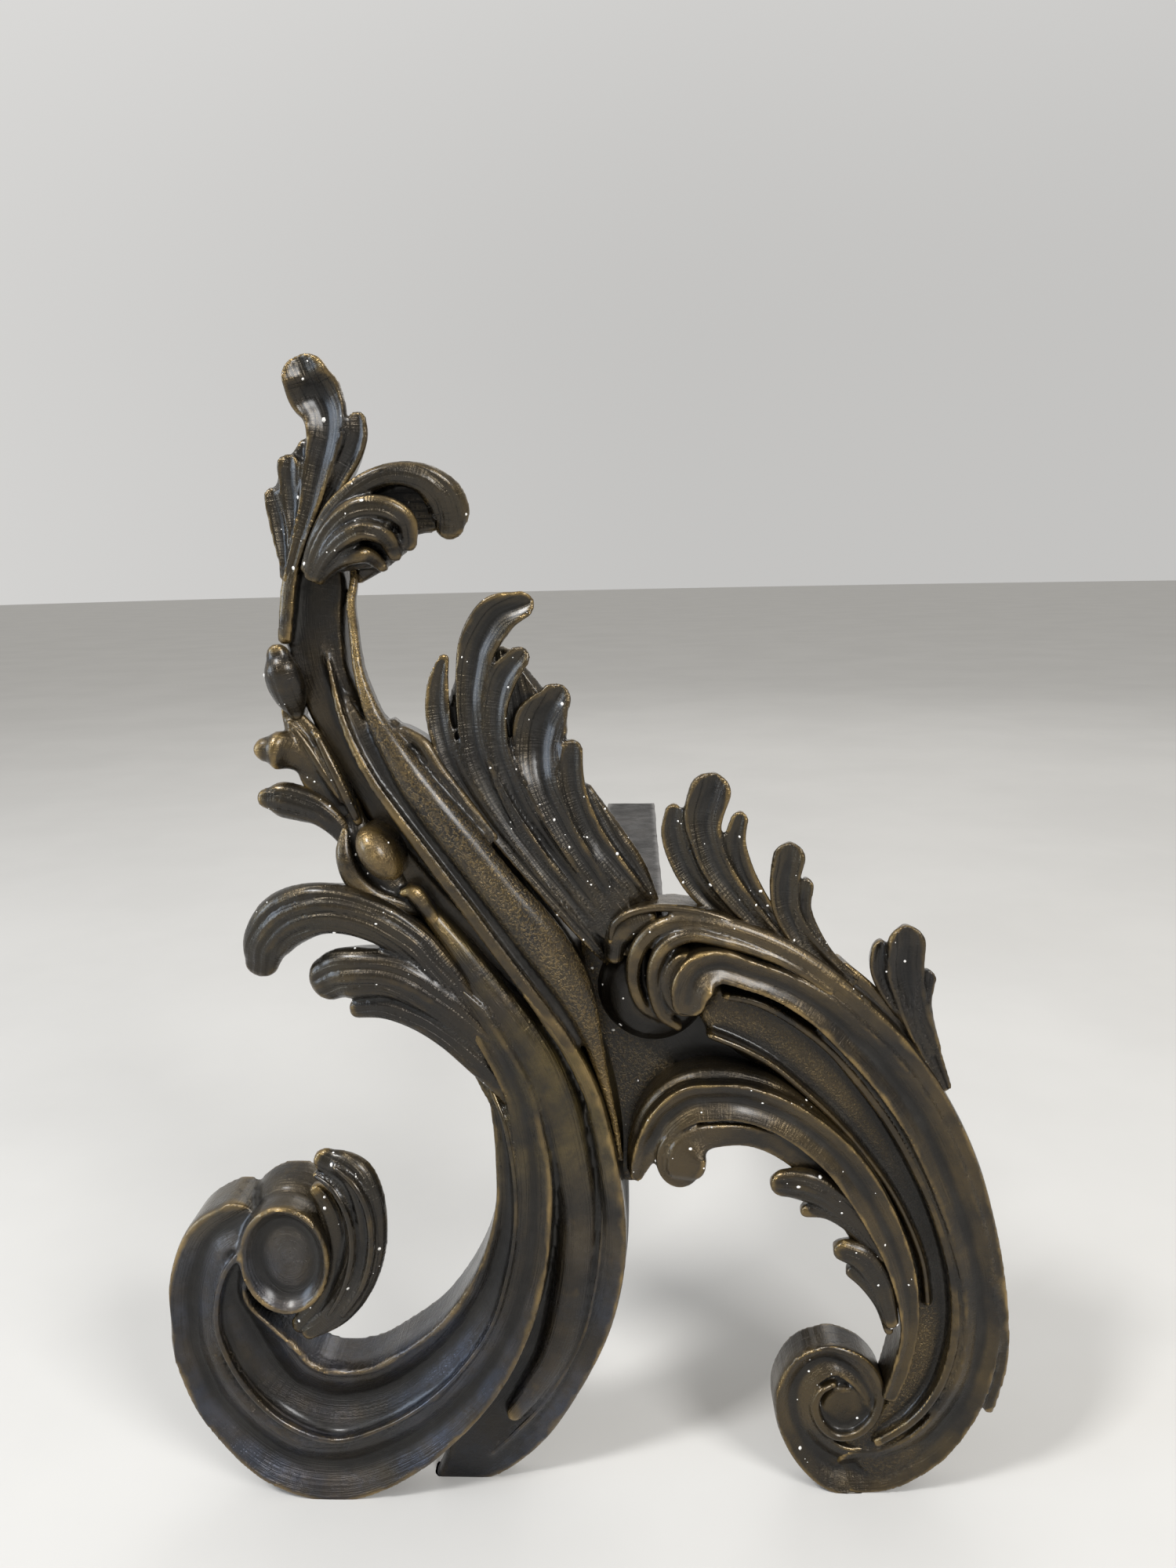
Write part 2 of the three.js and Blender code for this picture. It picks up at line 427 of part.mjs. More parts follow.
const INNER_LEAF_UPPER = [
  rib('ribs3', 7, 'tip', [
    [26.3, 67.8, 2.8, -1], [30.1, 67.5, 3.3, -1.5], [35.1, 64.6, 2.8, -1], [40.3, 59.6, 2.3, -0.5],
    [44.5, 53, 1.4, 0],
  ]),
  rib('round', 7, 'tip', [
    [30.4, 62, 1.3, 0], [34.1, 61.6, 1.3, 0], [38.1, 59.1, 1.3, 0], [42.3, 54.3, 1.2, 0.5],
  ]),
];

const INNER_LEAF_LOWER = [
  rib('ribs2', 7, 'tip', [
    [37.5, 54.1, 2.3, -0.5], [40.9, 52.4, 2.7, -0.8], [44.3, 47, 2.3, -0.5], [46.3, 39.4, 1.5, 0],
  ]),
  rib('round', 7, 'tip', [
    [39, 49.3, 1.3, 0.5], [41.6, 46.8, 1.3, 0.5], [44.4, 42.6, 1.2, 0.5], [46.1, 37, 0.9, 1],
  ]),
];

const WEB_PLATE = [
  rib('flat', 9, 'open', [
    [-5, 97.8, 3.4, 5], [2.1, 95.9, 4.9, 5], [9.3, 93.9, 4.9, 5], [12.9, 93.1, 3.4, 5],
  ]),
  rib('flat', 10, 'open', [
    [-3.6, 93.6, 6, 4], [0.9, 87.7, 6.5, 3.5], [0.8, 81.6, 5.5, 3.5], [-0.7, 74.6, 4.1, 3.5],
    [-1.7, 67.5, 1.8, 3.5],
  ]),
];

// ---------- from descriptions to solids ----------
const GRID = 1 / 512; // every corner sits on this grid, so that none lie closer together
const WELD = GRID / 4;

function toSolid(geometry) {
  const bare = new THREE.BufferGeometry();
  bare.setAttribute('position', geometry.getAttribute('position'));
  if (geometry.index) {
    bare.setIndex(geometry.index);
  }
  const welded = mergeVertices(bare, WELD);
  return new wasm.Manifold(new wasm.Mesh({
    numProp: 3,
    vertProperties: new Float32Array(welded.attributes.position.array),
    triVerts: new Uint32Array(welded.index.array),
  }));
}

function toGeometry(solid) {
  const mesh = solid.getMesh();
  const snapped = snapCorners(mesh.vertProperties, mesh.triVerts);
  const geometry = new THREE.BufferGeometry();
  geometry.setAttribute('position', new THREE.BufferAttribute(snapped, 3));
  geometry.setIndex(new THREE.BufferAttribute(mesh.triVerts, 1));
  return withoutSlivers(mergeVertices(geometry, WELD));
}

// Puts every corner on the grid. Where two sheets of one body touch, each draws back a little.
function snapCorners(positions, corners) {
  const snap = (value) => Math.round(value / GRID) * GRID;
  const snapped = positions.map(snap);
  const owners = new Map();
  for (let i = 0; i < snapped.length; i += 3) {
    const key = `${snapped[i]},${snapped[i + 1]},${snapped[i + 2]}`;
    owners.set(key, [...(owners.get(key) ?? []), i / 3]);
  }
  const touching = [...owners.values()].filter((list) => list.length > 1).flat();
  for (const corner of touching) {
    const inward = cornerNormal(positions, corners, corner).multiplyScalar(-4 * GRID);
    inward.toArray().forEach((shift, k) => {
      snapped[3 * corner + k] = snap(positions[3 * corner + k] + shift);
    });
  }
  return snapped;
}

function cornerNormal(positions, corners, corner) {
  const at = (i) => new THREE.Vector3().fromArray(positions, 3 * i);
  const sum = new THREE.Vector3();
  for (let i = 0; i < corners.length; i += 3) {
    const face = [corners[i], corners[i + 1], corners[i + 2]];
    if (face.includes(corner)) {
      const [a, b, c] = face.map(at);
      sum.add(b.sub(a).cross(c.sub(a)));
    }
  }
  return sum.normalize();
}

// Drops the triangles that lost a side when their corners met on the grid, and mends needles.
function withoutSlivers(geometry) {
  const corners = geometry.index.array;
  let faces = [];
  for (let i = 0; i < corners.length; i += 3) {
    faces.push([corners[i], corners[i + 1], corners[i + 2]]);
  }
  faces = faces.filter(([a, b, c]) => a !== b && b !== c && c !== a);
  const position = geometry.getAttribute('position');
  const at = (i) => new THREE.Vector3().fromBufferAttribute(position, i);
  for (let pass = 0; pass < MOST_MENDS; pass += 1) {
    const mended = mendOne(faces, at);
    if (!mended) {
      break;
    }
    faces = mended;
  }
  geometry.setIndex(faces.flat());
  return geometry;
}

const MOST_MENDS = 400;
const SHORT_EDGE = 0.012;
const THIN_FACE = 0.004;

// Closes up one edge that is too short, or turns the long edge of one face that is too thin.
function mendOne(faces, at) {
  const owner = new Map();
  const around = new Map();
  faces.forEach((face, index) => face.forEach((corner, k) => {
    const next = face[(k + 1) % 3];
    owner.set(`${corner},${next}`, index);
    around.set(corner, (around.get(corner) ?? new Set()).add(next));
    around.set(next, (around.get(next) ?? new Set()).add(corner));
  }));
  for (let index = 0; index < faces.length; index += 1) {
    const face = faces[index];
    const lengths = face.map((corner, k) => at(corner).distanceTo(at(face[(k + 1) % 3])));
    const short = lengths.indexOf(Math.min(...lengths));
    const long = lengths.indexOf(Math.max(...lengths));
    if (lengths[short] < SHORT_EDGE) {
      const [kept, gone] = [face[short], face[(short + 1) % 3]];
      const shared = [...around.get(kept)].filter((corner) => around.get(gone).has(corner));
      if (shared.length === 2) {
        return faces.map((f) => f.map((corner) => (corner === gone ? kept : corner)))
          .filter(([a, b, c]) => a !== b && b !== c && c !== a);
      }
    }
    const [a, c, b] = [face[long], face[(long + 1) % 3], face[(long + 2) % 3]];
    const height = at(b).sub(at(a)).cross(at(c).sub(at(a))).length() / lengths[long];
    const other = owner.get(`${c},${a}`);
    if (height < THIN_FACE && other !== undefined) {
      const d = faces[other].find((corner) => corner !== a && corner !== c);
      const longest = Math.max(at(d).distanceTo(at(a)), at(d).distanceTo(at(c)));
      if (!around.get(b).has(d) && longest > SHORT_EDGE) {
        const rest = faces.filter((_, k) => k !== index && k !== other);
        return [...rest, [a, d, b], [d, c, b]];
      }
    }
  }
  return null;
}

// Smooth curve through rows of numbers, sampled so that no facet is longer than STEP_LENGTH.
function sampleRows(rows) {
  const result = [];
  for (let i = 0; i < rows.length - 1; i += 1) {
    const length = Math.hypot(rows[i + 1][0] - rows[i][0], rows[i + 1][1] - rows[i][1]);
    const steps = Math.max(1, Math.round(length / STEP_LENGTH));
    for (let k = 0; k < steps; k += 1) {
      result.push(blendRow(rows, i, k / steps));
    }
  }
  result.push(rows[rows.length - 1].slice());
  return result;
}

function blendRow(rows, i, t) {
  const a = rows[Math.max(i - 1, 0)];
  const b = rows[i];
  const c = rows[i + 1];
  const d = rows[Math.min(i + 2, rows.length - 1)];
  return b.map((value, k) => 0.5 * (2 * value + (c[k] - a[k]) * t
    + (2 * a[k] - 5 * value + 4 * c[k] - d[k]) * t * t
    + (3 * value - a[k] - 3 * c[k] + d[k]) * t * t * t));
}

// Turns a rib's middle line into pairs of edge points; grow widens it all round.
function ribEdges(rows, grow, rounded) {
  const line = sampleRows(rows);
  const edges = line.map((row, i) => {
    const before = line[Math.max(i - 1, 0)];
    const after = line[Math.min(i + 1, line.length - 1)];
    const run = new THREE.Vector2(after[0] - before[0], after[1] - before[1]).normalize();
    return edgePair(row[0], row[1], run, row[2] + grow, row[3] - grow);
  });
  if (rounded || grow > 0) {
    edges.unshift(...endPairs(line[0], line[1], grow, rounded).map(turned).reverse());
  }
  if (grow > 0) {
    edges.push(...endPairs(line[line.length - 1], line[line.length - 2], grow, false));
  }
  return edges;
}

function edgePair(x, z, run, half, crest) {
  return {
    left: new THREE.Vector2(x + run.y * half, z - run.x * half),
    right: new THREE.Vector2(x - run.y * half, z + run.x * half),
    crest,
  };
}

// A pair made looking back along the moulding, as it lies looking forwards.
const turned = ({ left, right, crest }) => ({ left: right, right: left, crest });

const TIP_ANGLES = [0.6, 1.1, 1.45]; // radians round the quarter circle of a leaf tip

// Extra pairs past an end: a quarter round for a leaf tip, or a straight allowance.
function endPairs(end, inner, grow, rounded) {
  const run = new THREE.Vector2(end[0] - inner[0], end[1] - inner[1]).normalize();
  const half = end[2] + grow;
  const pairs = [];
  const angles = rounded ? TIP_ANGLES : [1];
  for (const angle of angles) {
    const reach = rounded ? half * Math.sin(angle) : grow;
    const width = rounded ? half * Math.cos(angle) : half;
    const drop = rounded ? 0.35 * half * (1 - Math.cos(angle)) : 0;
    pairs.push(edgePair(end[0] + run.x * reach, end[1] + run.y * reach, run, width,
      end[3] - grow + drop));
  }
  return pairs;
}

function bandEdges(rows, grow) {
  return sampleRows(rows).map((row) => {
    const left = new THREE.Vector2(row[0], row[1]);
    const right = new THREE.Vector2(row[2], row[3]);
    const across = right.clone().sub(left).normalize().multiplyScalar(grow);
    return { left: left.sub(across), right: right.add(across), crest: row[4] - grow };
  });
}

const LEAST_ADVANCE = 0.06; // how far the inner edge of a tight curl still moves on

// On the inside of a tight curl the edge points would run backwards; they are held in order.
function keepForward(edges) {
  for (let i = 1; i < edges.length; i += 1) {
    const before = edges[i - 1];
    const ahead = before.right.clone().sub(before.left).normalize();
    ahead.set(-ahead.y, ahead.x);
    const travel = edges[i].left.clone().add(edges[i].right).sub(before.left).sub(before.right);
    if (travel.dot(ahead) < 0) {
      ahead.negate();
    }
    for (const side of ['left', 'right']) {
      const advance = edges[i][side].clone().sub(before[side]).dot(ahead);
      if (advance < LEAST_ADVANCE) {
        edges[i][side].addScaledVector(ahead, LEAST_ADVANCE - advance);
      }
    }
  }
  return edges;
}

// Skins a row of sections: every pair of edges carries one copy of the section.
function loft(edges, section, backY) {
  const points = [];
  for (const { left, right, crest } of edges) {
    const half = 0.5 * left.distanceTo(right);
    for (const [across, drop] of section) {
      const share = 0.5 * (across + 1);
      points.push(left.x + (right.x - left.x) * share, Math.min(crest + drop * half, backY - 0.8),
        left.y + (right.y - left.y) * share);
    }
    points.push(right.x, backY, right.y, left.x, backY, left.y);
  }
  const count = section.length + 2;
  const faces = [];
  for (let i = 0; i < edges.length - 1; i += 1) {
    for (let k = 0; k < count; k += 1) {
      const next = (k + 1) % count;
      const [p, q] = [i * count + k, i * count + next];
      faces.push(p, q, q + count, p, q + count, p + count);
    }
  }
  closeEnds(faces, points, count, edges.length);
  return orient(points, faces);
}

function closeEnds(faces, points, count, rings) {
  const outline = [];
  for (let k = 0; k < count; k += 1) {
    const at = 3 * k;
    const reach = Math.hypot(points[at] - points[0], points[at + 2] - points[2]);
    outline.push(new THREE.Vector2(reach, points[at + 1]));
  }
  const last = (rings - 1) * count;
  for (const [a, b, c] of THREE.ShapeUtils.triangulateShape(outline, [])) {
    faces.push(a, c, b, last + a, last + b, last + c);
  }
}

function orient(points, faces) {
  const geometry = new THREE.BufferGeometry();
  geometry.setAttribute('position', new THREE.BufferAttribute(new Float32Array(points), 3));
  const at = (i) => new THREE.Vector3(points[3 * i], points[3 * i + 1], points[3 * i + 2]);
  let volume = 0;
  for (let i = 0; i < faces.length; i += 3) {
    volume += at(faces[i]).dot(at(faces[i + 1]).cross(at(faces[i + 2])));
  }
  geometry.setIndex(volume < 0 ? faces.slice().reverse() : faces);
  return geometry;
}

// A turned boss: rings of an oval, stepped from the back face to the crest.
function turnedBoss({ turning, back, size, tilt }, grow) {
  const [x, z, halfLength, halfHeight, crest] = size;
  const mean = 0.5 * (halfLength + halfHeight);
  const top = crest - grow;
  const rings = [[1, back + grow]];
  for (const [share, drop] of TURNINGS[turning]) {
    rings.push([share, Math.min(top + drop * mean, back - 0.8)]);
  }
  const points = [];
  const turn = THREE.MathUtils.degToRad(tilt);
  for (const [share, y] of rings) {
    for (let i = 0; i < ROUND_SIDES; i += 1) {
      const angle = (2 * Math.PI * i) / ROUND_SIDES;
      const u = (halfLength + grow) * share * Math.cos(angle);
      const v = (halfHeight + grow) * share * Math.sin(angle);
      points.push(x + u * Math.cos(turn) + v * Math.sin(turn), y,
        z - u * Math.sin(turn) + v * Math.cos(turn));
    }
  }
  const rear = points.length / 3;
  const depth = Math.min(top + CENTRE_DEPTH[turning] * mean, back - 0.8);
  points.push(x, back + grow, z, x, depth, z);
  return orient(points, bossFaces(rings.length, rear));
}

function bossFaces(rings, rear) {
  const faces = [];
  for (let i = 0; i < ROUND_SIDES; i += 1) {
    const next = (i + 1) % ROUND_SIDES;
    faces.push(rear, next, i);
    for (let k = 0; k < rings - 1; k += 1) {
      const [p, q] = [k * ROUND_SIDES + i, k * ROUND_SIDES + next];
      faces.push(p, q, q + ROUND_SIDES, p, q + ROUND_SIDES, p + ROUND_SIDES);
    }
    const last = (rings - 1) * ROUND_SIDES;
    faces.push(rear + 1, last + i, last + next);
  }
  return faces;
}

function strandSolid(strand, grow = 0) {
  if (strand.kind === 'boss') {
    return toSolid(turnedBoss(strand, grow));
  }
  const rounded = strand.ends === 'tip';
  const edges = strand.kind === 'rib'
    ? ribEdges(strand.rows, grow, rounded)
    : bandEdges(strand.rows, grow);
  return toSolid(loft(keepForward(edges), SECTIONS[strand.section], strand.back + grow));
}

function join(solids) {
  return solids.reduce((sum, solid) => sum.add(solid));
}

function castSolid(strands, grow = 0) {
  return join(strands.map((strand) => strandSolid(strand, grow)));
}

// Hollows a moulding from behind: the same strand, narrower and deeper by the wall.
function hollowFor(strand, wall) {
  const narrow = (row) => (strand.kind === 'rib'
    ? [row[0], row[1], Math.max(row[2] - wall, 0.4), row[3] + wall]
    : pullIn(row, wall));
  const rows = strand.rows.slice(1, -1).map(narrow);
  return strandSolid({ ...strand, section: 'slab', back: strand.back + 2, ends: 'open', rows });
}

function pullIn([x1, z1, x2, z2, crest], wall) {
  const across = new THREE.Vector2(x2 - x1, z2 - z1);
  const inset = Math.min(wall, 0.35 * across.length());
  across.normalize().multiplyScalar(inset);
  return [x1 + across.x, z1 + across.y, x2 - across.x, z2 - across.y, crest + wall];
}

function box(x1, x2, y1, y2, z1, z2) {
  const geometry = new THREE.BoxGeometry(x2 - x1, y2 - y1, z2 - z1);
  geometry.translate((x1 + x2) / 2, (y1 + y2) / 2, (z1 + z2) / 2);
  return toSolid(geometry);
}

function rod(x, z, y1, y2, diameter, sides = 16) {
  const geometry = new THREE.CylinderGeometry(diameter / 2, diameter / 2, y2 - y1, sides);
  geometry.rotateY(Math.PI / sides);
  geometry.translate(x, (y1 + y2) / 2, z);
  return toSolid(geometry);
}

// The largest single body of a solid; slivers left by a cut are dropped.
function mainBody(solid) {
  const welded = toSolid(toGeometry(solid));
  const bodies = welded.decompose();
  return bodies.reduce((best, body) => (body.volume() > best.volume() ? body : best));
}

// ---------- the castings of the front ----------
// A casting is cut back by the joint clearance wherever one from its cutBy list lies in its place.
const CASTINGS = [
  { name: 'crest_leaf', strands: CREST_LEAF },
  { name: 'crest_curl', strands: CREST_CURL, cutBy: ['crest_leaf'] },
  { name: 'bud_upper', strands: BUD_UPPER },
  { name: 'bud_middle', strands: BUD_MIDDLE, cutBy: ['bud_upper'] },
  { name: 'husk_leaf', strands: HUSK_LEAF, cutBy: ['bud_middle'] },
  { name: 'berry', strands: BERRY, cutBy: ['husk_leaf', 'bud_middle'] },
  { name: 'berry_cup', strands: BERRY_CUP, cutBy: ['berry', 'husk_leaf', 'bud_middle'] },
  { name: 'side_leaf', strands: SIDE_LEAF, cutBy: ['berry', 'berry_cup'] },
  { name: 'mid_leaf', strands: MID_LEAF },
  { name: 'volute_shell', strands: VOLUTE_SHELL },
  { name: 'sprig_upper', strands: SPRIG_UPPER },
  { name: 'sprig_middle', strands: SPRIG_MIDDLE, cutBy: ['sprig_upper'] },
  { name: 'sprig_lower', strands: SPRIG_LOWER, cutBy: ['sprig_middle'] },
  { name: 'inner_leaf_upper', strands: INNER_LEAF_UPPER },
  { name: 'inner_leaf_lower', strands: INNER_LEAF_LOWER, cutBy: ['inner_leaf_upper'] },
  { name: 'foot_volute', strands: FOOT_VOLUTE, stands: true },
  {
    name: 'inner_scroll',
    strands: INNER_SCROLL,
    cutBy: ['inner_leaf_upper', 'inner_leaf_lower', 'foot_volute'],
  },
  { name: 'scroll_head', strands: SCROLL_HEAD, cutBy: ['mid_leaf', 'sprig_upper'] },
  {
    name: 'scroll_upper',
    strands: SCROLL_UPPER,
    hollow: [0],
    cutBy: ['crest_leaf', 'crest_curl', 'bud_upper', 'bud_middle', 'husk_leaf', 'berry',
      'berry_cup', 'side_leaf', 'mid_leaf', 'scroll_head'],
  },
  {
    name: 'scroll_lower',
    strands: SCROLL_LOWER,
    hollow: [0],
    stands: true,
    cutBy: ['scroll_upper', 'side_leaf', 'volute_shell', 'scroll_head', 'inner_scroll'],
  },
  {
    name: 'c_scroll',
    strands: C_SCROLL,
    hollow: [0],
    stands: true,
    cutBy: ['scroll_head', 'sprig_upper', 'sprig_middle', 'sprig_lower', 'inner_scroll',
      'inner_leaf_upper', 'inner_leaf_lower', 'foot_volute'],
  },
];

const floorZ = FOOT_FLAT;
const barTop = floorZ + BAR_TOP_Z;
const barBottom = barTop - BAR_THICKNESS;

function cutByNeighbours(solid, names, parts) {
  return (names ?? []).reduce((rest, name) => rest.subtract(parts.get(name)), solid);
}

function buildCastings() {
  const grown = new Map();
  const solids = new Map();
  const ground = box(-200, 200, -100, 100, floorZ - 60, floorZ);
  for (const { name, strands, cutBy, hollow, stands } of CASTINGS) {
    let solid = castSolid(strands);
    for (const index of hollow ?? []) {
      solid = solid.subtract(hollowFor(strands[index], SHELL_WALL));
    }
    if (stands) {
      solid = solid.subtract(ground);
    }
    solids.set(name, mainBody(cutByNeighbours(solid, cutBy, grown)));
    grown.set(name, castSolid(strands, CLEARANCE));
  }
  solids.set('web_plate', buildWeb(grown));
  return solids;
}

// The web between the scrolls carries the boss for the log bar on its back.
function buildWeb(grown) {
  const half = BOSS_WIDTH / 2;
  let web = castSolid(WEB_PLATE).add(box(BAR_CENTRE_X - half, BAR_CENTRE_X + half, 5, BOSS_BACK_Y,
    barBottom - BOSS_MARGIN, flangeTop() + BOSS_MARGIN));
  const neighbours = ['scroll_upper', 'scroll_lower', 'c_scroll', 'scroll_head', 'inner_scroll',
    'mid_leaf'];
  web = cutByNeighbours(web, neighbours, grown);
  for (const z of screwHeights()) {
    web = web.subtract(rod(BAR_CENTRE_X, z, BOSS_BACK_Y - SCREW_DEPTH, BOSS_BACK_Y + 1,
      SCREW_DIAMETER + 2 * SCREW_PLAY));
  }
  return mainBody(web);
}

// ---------- the iron log bar and its screws ----------
function screwHeights() {
  const lower = barTop + FLANGE_MARGIN + SCREW_HEAD_WIDTH / 2;
  return [lower + SCREW_SPACING, lower];
}

function flangeTop() {
  return screwHeights()[0] + SCREW_HEAD_WIDTH / 2 + FLANGE_MARGIN;
}

// The bar from the side: a flange turned up against the boss, the log bar, and the rear leg.
function barOutline() {
  const front = BOSS_BACK_Y + CLEARANCE;
  const inner = front + BAR_FLANGE_THICKNESS;
  const bendY = BAR_REAR_Y - BAR_BEND_RADIUS;
  const bendZ = barTop - BAR_BEND_RADIUS;
  const shape = new THREE.Shape();
  shape.moveTo(front, barBottom);
  shape.lineTo(front, flangeTop());
  shape.lineTo(inner, flangeTop());
  shape.lineTo(inner, barTop);
  shape.lineTo(bendY, barTop);
  shape.absarc(bendY, bendZ, BAR_BEND_RADIUS, Math.PI / 2, 0, true);
  shape.lineTo(BAR_REAR_Y, floorZ);
  shape.lineTo(BAR_REAR_Y - BAR_THICKNESS, floorZ);
  shape.lineTo(BAR_REAR_Y - BAR_THICKNESS, bendZ);
  shape.absarc(bendY, bendZ, BAR_BEND_RADIUS - BAR_THICKNESS, 0, Math.PI / 2, false);
  shape.closePath();
  return shape;
}

function buildBar() {
  const geometry = new THREE.ExtrudeGeometry(barOutline(), {
    depth: BAR_WIDTH - 2 * BAR_EDGE,
    curveSegments: 8,
    bevelEnabled: true,
    bevelSegments: 1,
    bevelThickness: BAR_EDGE,
    bevelSize: BAR_EDGE,
    bevelOffset: -BAR_EDGE,
  });
  // the outline is drawn in Y and Z, and the bar is as wide as it is extruded along X
  geometry.applyMatrix4(new THREE.Matrix4().makeBasis(
    new THREE.Vector3(0, 1, 0),
    new THREE.Vector3(0, 0, 1),
    new THREE.Vector3(1, 0, 0),
  ));
  geometry.translate(BAR_CENTRE_X - BAR_WIDTH / 2 + BAR_EDGE, 0, 0);
  let bar = toSolid(geometry);
  const front = BOSS_BACK_Y + CLEARANCE;
  for (const z of screwHeights()) {
    bar = bar.subtract(rod(BAR_CENTRE_X, z, front - 1, front + BAR_THICKNESS + 20,
      SCREW_DIAMETER + 2 * SCREW_PLAY));
  }
  return bar;
}

// A slotted cheese-head screw, driven forward through the flange into the boss.
function buildScrew(z) {
  const seat = BOSS_BACK_Y + CLEARANCE + BAR_FLANGE_THICKNESS + CLEARANCE;
  const tip = BOSS_BACK_Y - SCREW_DEPTH + SCREW_PLAY;
  const shank = rod(BAR_CENTRE_X, z, tip, seat + 0.5, SCREW_DIAMETER);
  const head = rod(BAR_CENTRE_X, z, seat, seat + SCREW_HEAD_HEIGHT, SCREW_HEAD_WIDTH, 20);
  const slot = box(BAR_CENTRE_X - SCREW_HEAD_WIDTH, BAR_CENTRE_X + SCREW_HEAD_WIDTH,
    seat + SCREW_HEAD_HEIGHT - 1.2, seat + SCREW_HEAD_HEIGHT + 1, z - 0.6, z + 0.6);
  return shank.add(head).subtract(slot);
}

// ---------- the assembly ----------
const BRONZE = { color: '#4a4234', roughness: 0.42, metalness: 0.9 };
const BRONZE_RUBBED = { color: '#6b5a38', roughness: 0.35, metalness: 0.95 };
const IRON = { color: '#37322d', roughness: 0.75, metalness: 0.6 };
const STEEL = { color: '#4d4a46', roughness: 0.55, metalness: 0.8 };
const RUBBED = new Set(['berry', 'scroll_head', 'foot_volute']);

function addMesh(group, name, solid, look) {
  const mesh = new THREE.Mesh(toGeometry(solid), new THREE.MeshStandardMaterial(look));
  mesh.name = name;
  group.add(mesh);
}

function buildAndiron() {
  const front = new THREE.Group();
  for (const [name, solid] of buildCastings()) {
    addMesh(front, name, solid, RUBBED.has(name) ? BRONZE_RUBBED : BRONZE);
  }
  const bar = new THREE.Group();
  addMesh(bar, 'log_bar', buildBar(), IRON);
  const [upper, lower] = screwHeights();
  addMesh(bar, 'screw_upper', buildScrew(upper), STEEL);
  addMesh(bar, 'screw_lower', buildScrew(lower), STEEL);
  const andiron = new THREE.Group();
  andiron.add(front, bar);
  const bounds = new THREE.Box3().setFromObject(andiron);
  const centre = bounds.getCenter(new THREE.Vector3());
  const onGrid = (value) => Math.round(value / GRID) * GRID;
  andiron.position.set(onGrid(-centre.x), onGrid(-centre.y), onGrid(-bounds.min.z));
  return andiron;
}

export default buildAndiron();
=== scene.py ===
"""A cast bronze andiron front in the rocaille style, on its iron log bar, over its solid model."""
import math

import bpy
import numpy as np
from bpy.props import FloatProperty, FloatVectorProperty, IntProperty, PointerProperty
from mathutils import Matrix, Vector
from mathutils.kdtree import KDTree


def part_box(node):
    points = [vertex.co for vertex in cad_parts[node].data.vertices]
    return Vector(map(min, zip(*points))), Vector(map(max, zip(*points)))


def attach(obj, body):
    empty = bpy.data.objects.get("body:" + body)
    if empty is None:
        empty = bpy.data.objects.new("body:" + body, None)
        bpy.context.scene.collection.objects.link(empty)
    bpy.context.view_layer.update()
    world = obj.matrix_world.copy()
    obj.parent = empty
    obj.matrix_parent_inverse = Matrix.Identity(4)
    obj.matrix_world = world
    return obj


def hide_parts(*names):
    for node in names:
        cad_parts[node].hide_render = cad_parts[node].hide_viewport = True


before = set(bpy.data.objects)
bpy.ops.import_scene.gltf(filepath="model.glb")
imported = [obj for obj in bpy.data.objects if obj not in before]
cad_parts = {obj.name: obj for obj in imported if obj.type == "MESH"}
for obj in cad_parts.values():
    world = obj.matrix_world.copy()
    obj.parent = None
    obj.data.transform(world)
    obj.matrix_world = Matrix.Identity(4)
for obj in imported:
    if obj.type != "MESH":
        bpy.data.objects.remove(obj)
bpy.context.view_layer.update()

bl_info = {
    "name": "Rocaille andiron",
    "version": (1, 0, 0),
    "blender": (4, 5, 0),
    "location": "3D View > Sidebar > Andiron",
    "description": "Builds a cast bronze andiron with its iron log bar, and the stage it stands on",
    "category": "Object",
}

MM = 0.001
BODY = "root"
# Strands are drawn in millimetres from the point where the fitted view met the floor.
STRAND_ORIGIN = np.array((10.52, -122.0, -1.0))


# ---------------------------------------------------------------- descriptions of the mouldings
# Every depth is a y in millimetres, less where it is nearer the viewer. Pits say how much of a
# strand's face is punched; the other mark says how much of it is darkened as painted shade,
# for a recess in shadow, both from 0 to 1.
def rib(section, back, ends, *rows, pits=0.0, soot=0.0):
    """A moulding along a middle line: rows of x, z, half width, crest y."""
    return {"kind": "rib", "section": section, "back": back, "ends": ends, "rows": rows,
            "pits": pits, "soot": soot}


def band(section, back, ends, *rows, soot=0.0):
    """A moulding between two edges: rows of left x, left z, right x, right z, crest y."""
    return dict(rib(section, back, ends, *rows, soot=soot), kind="band")


def boss(turning, back, *size, tilt=0, soot=0.0):
    """A turned boss: centre x, centre z, half length, half height, crest y; tilt in degrees."""
    return {"kind": "boss", "turning": turning, "back": back, "size": size, "tilt": tilt,
            "pits": 0.0, "soot": soot}


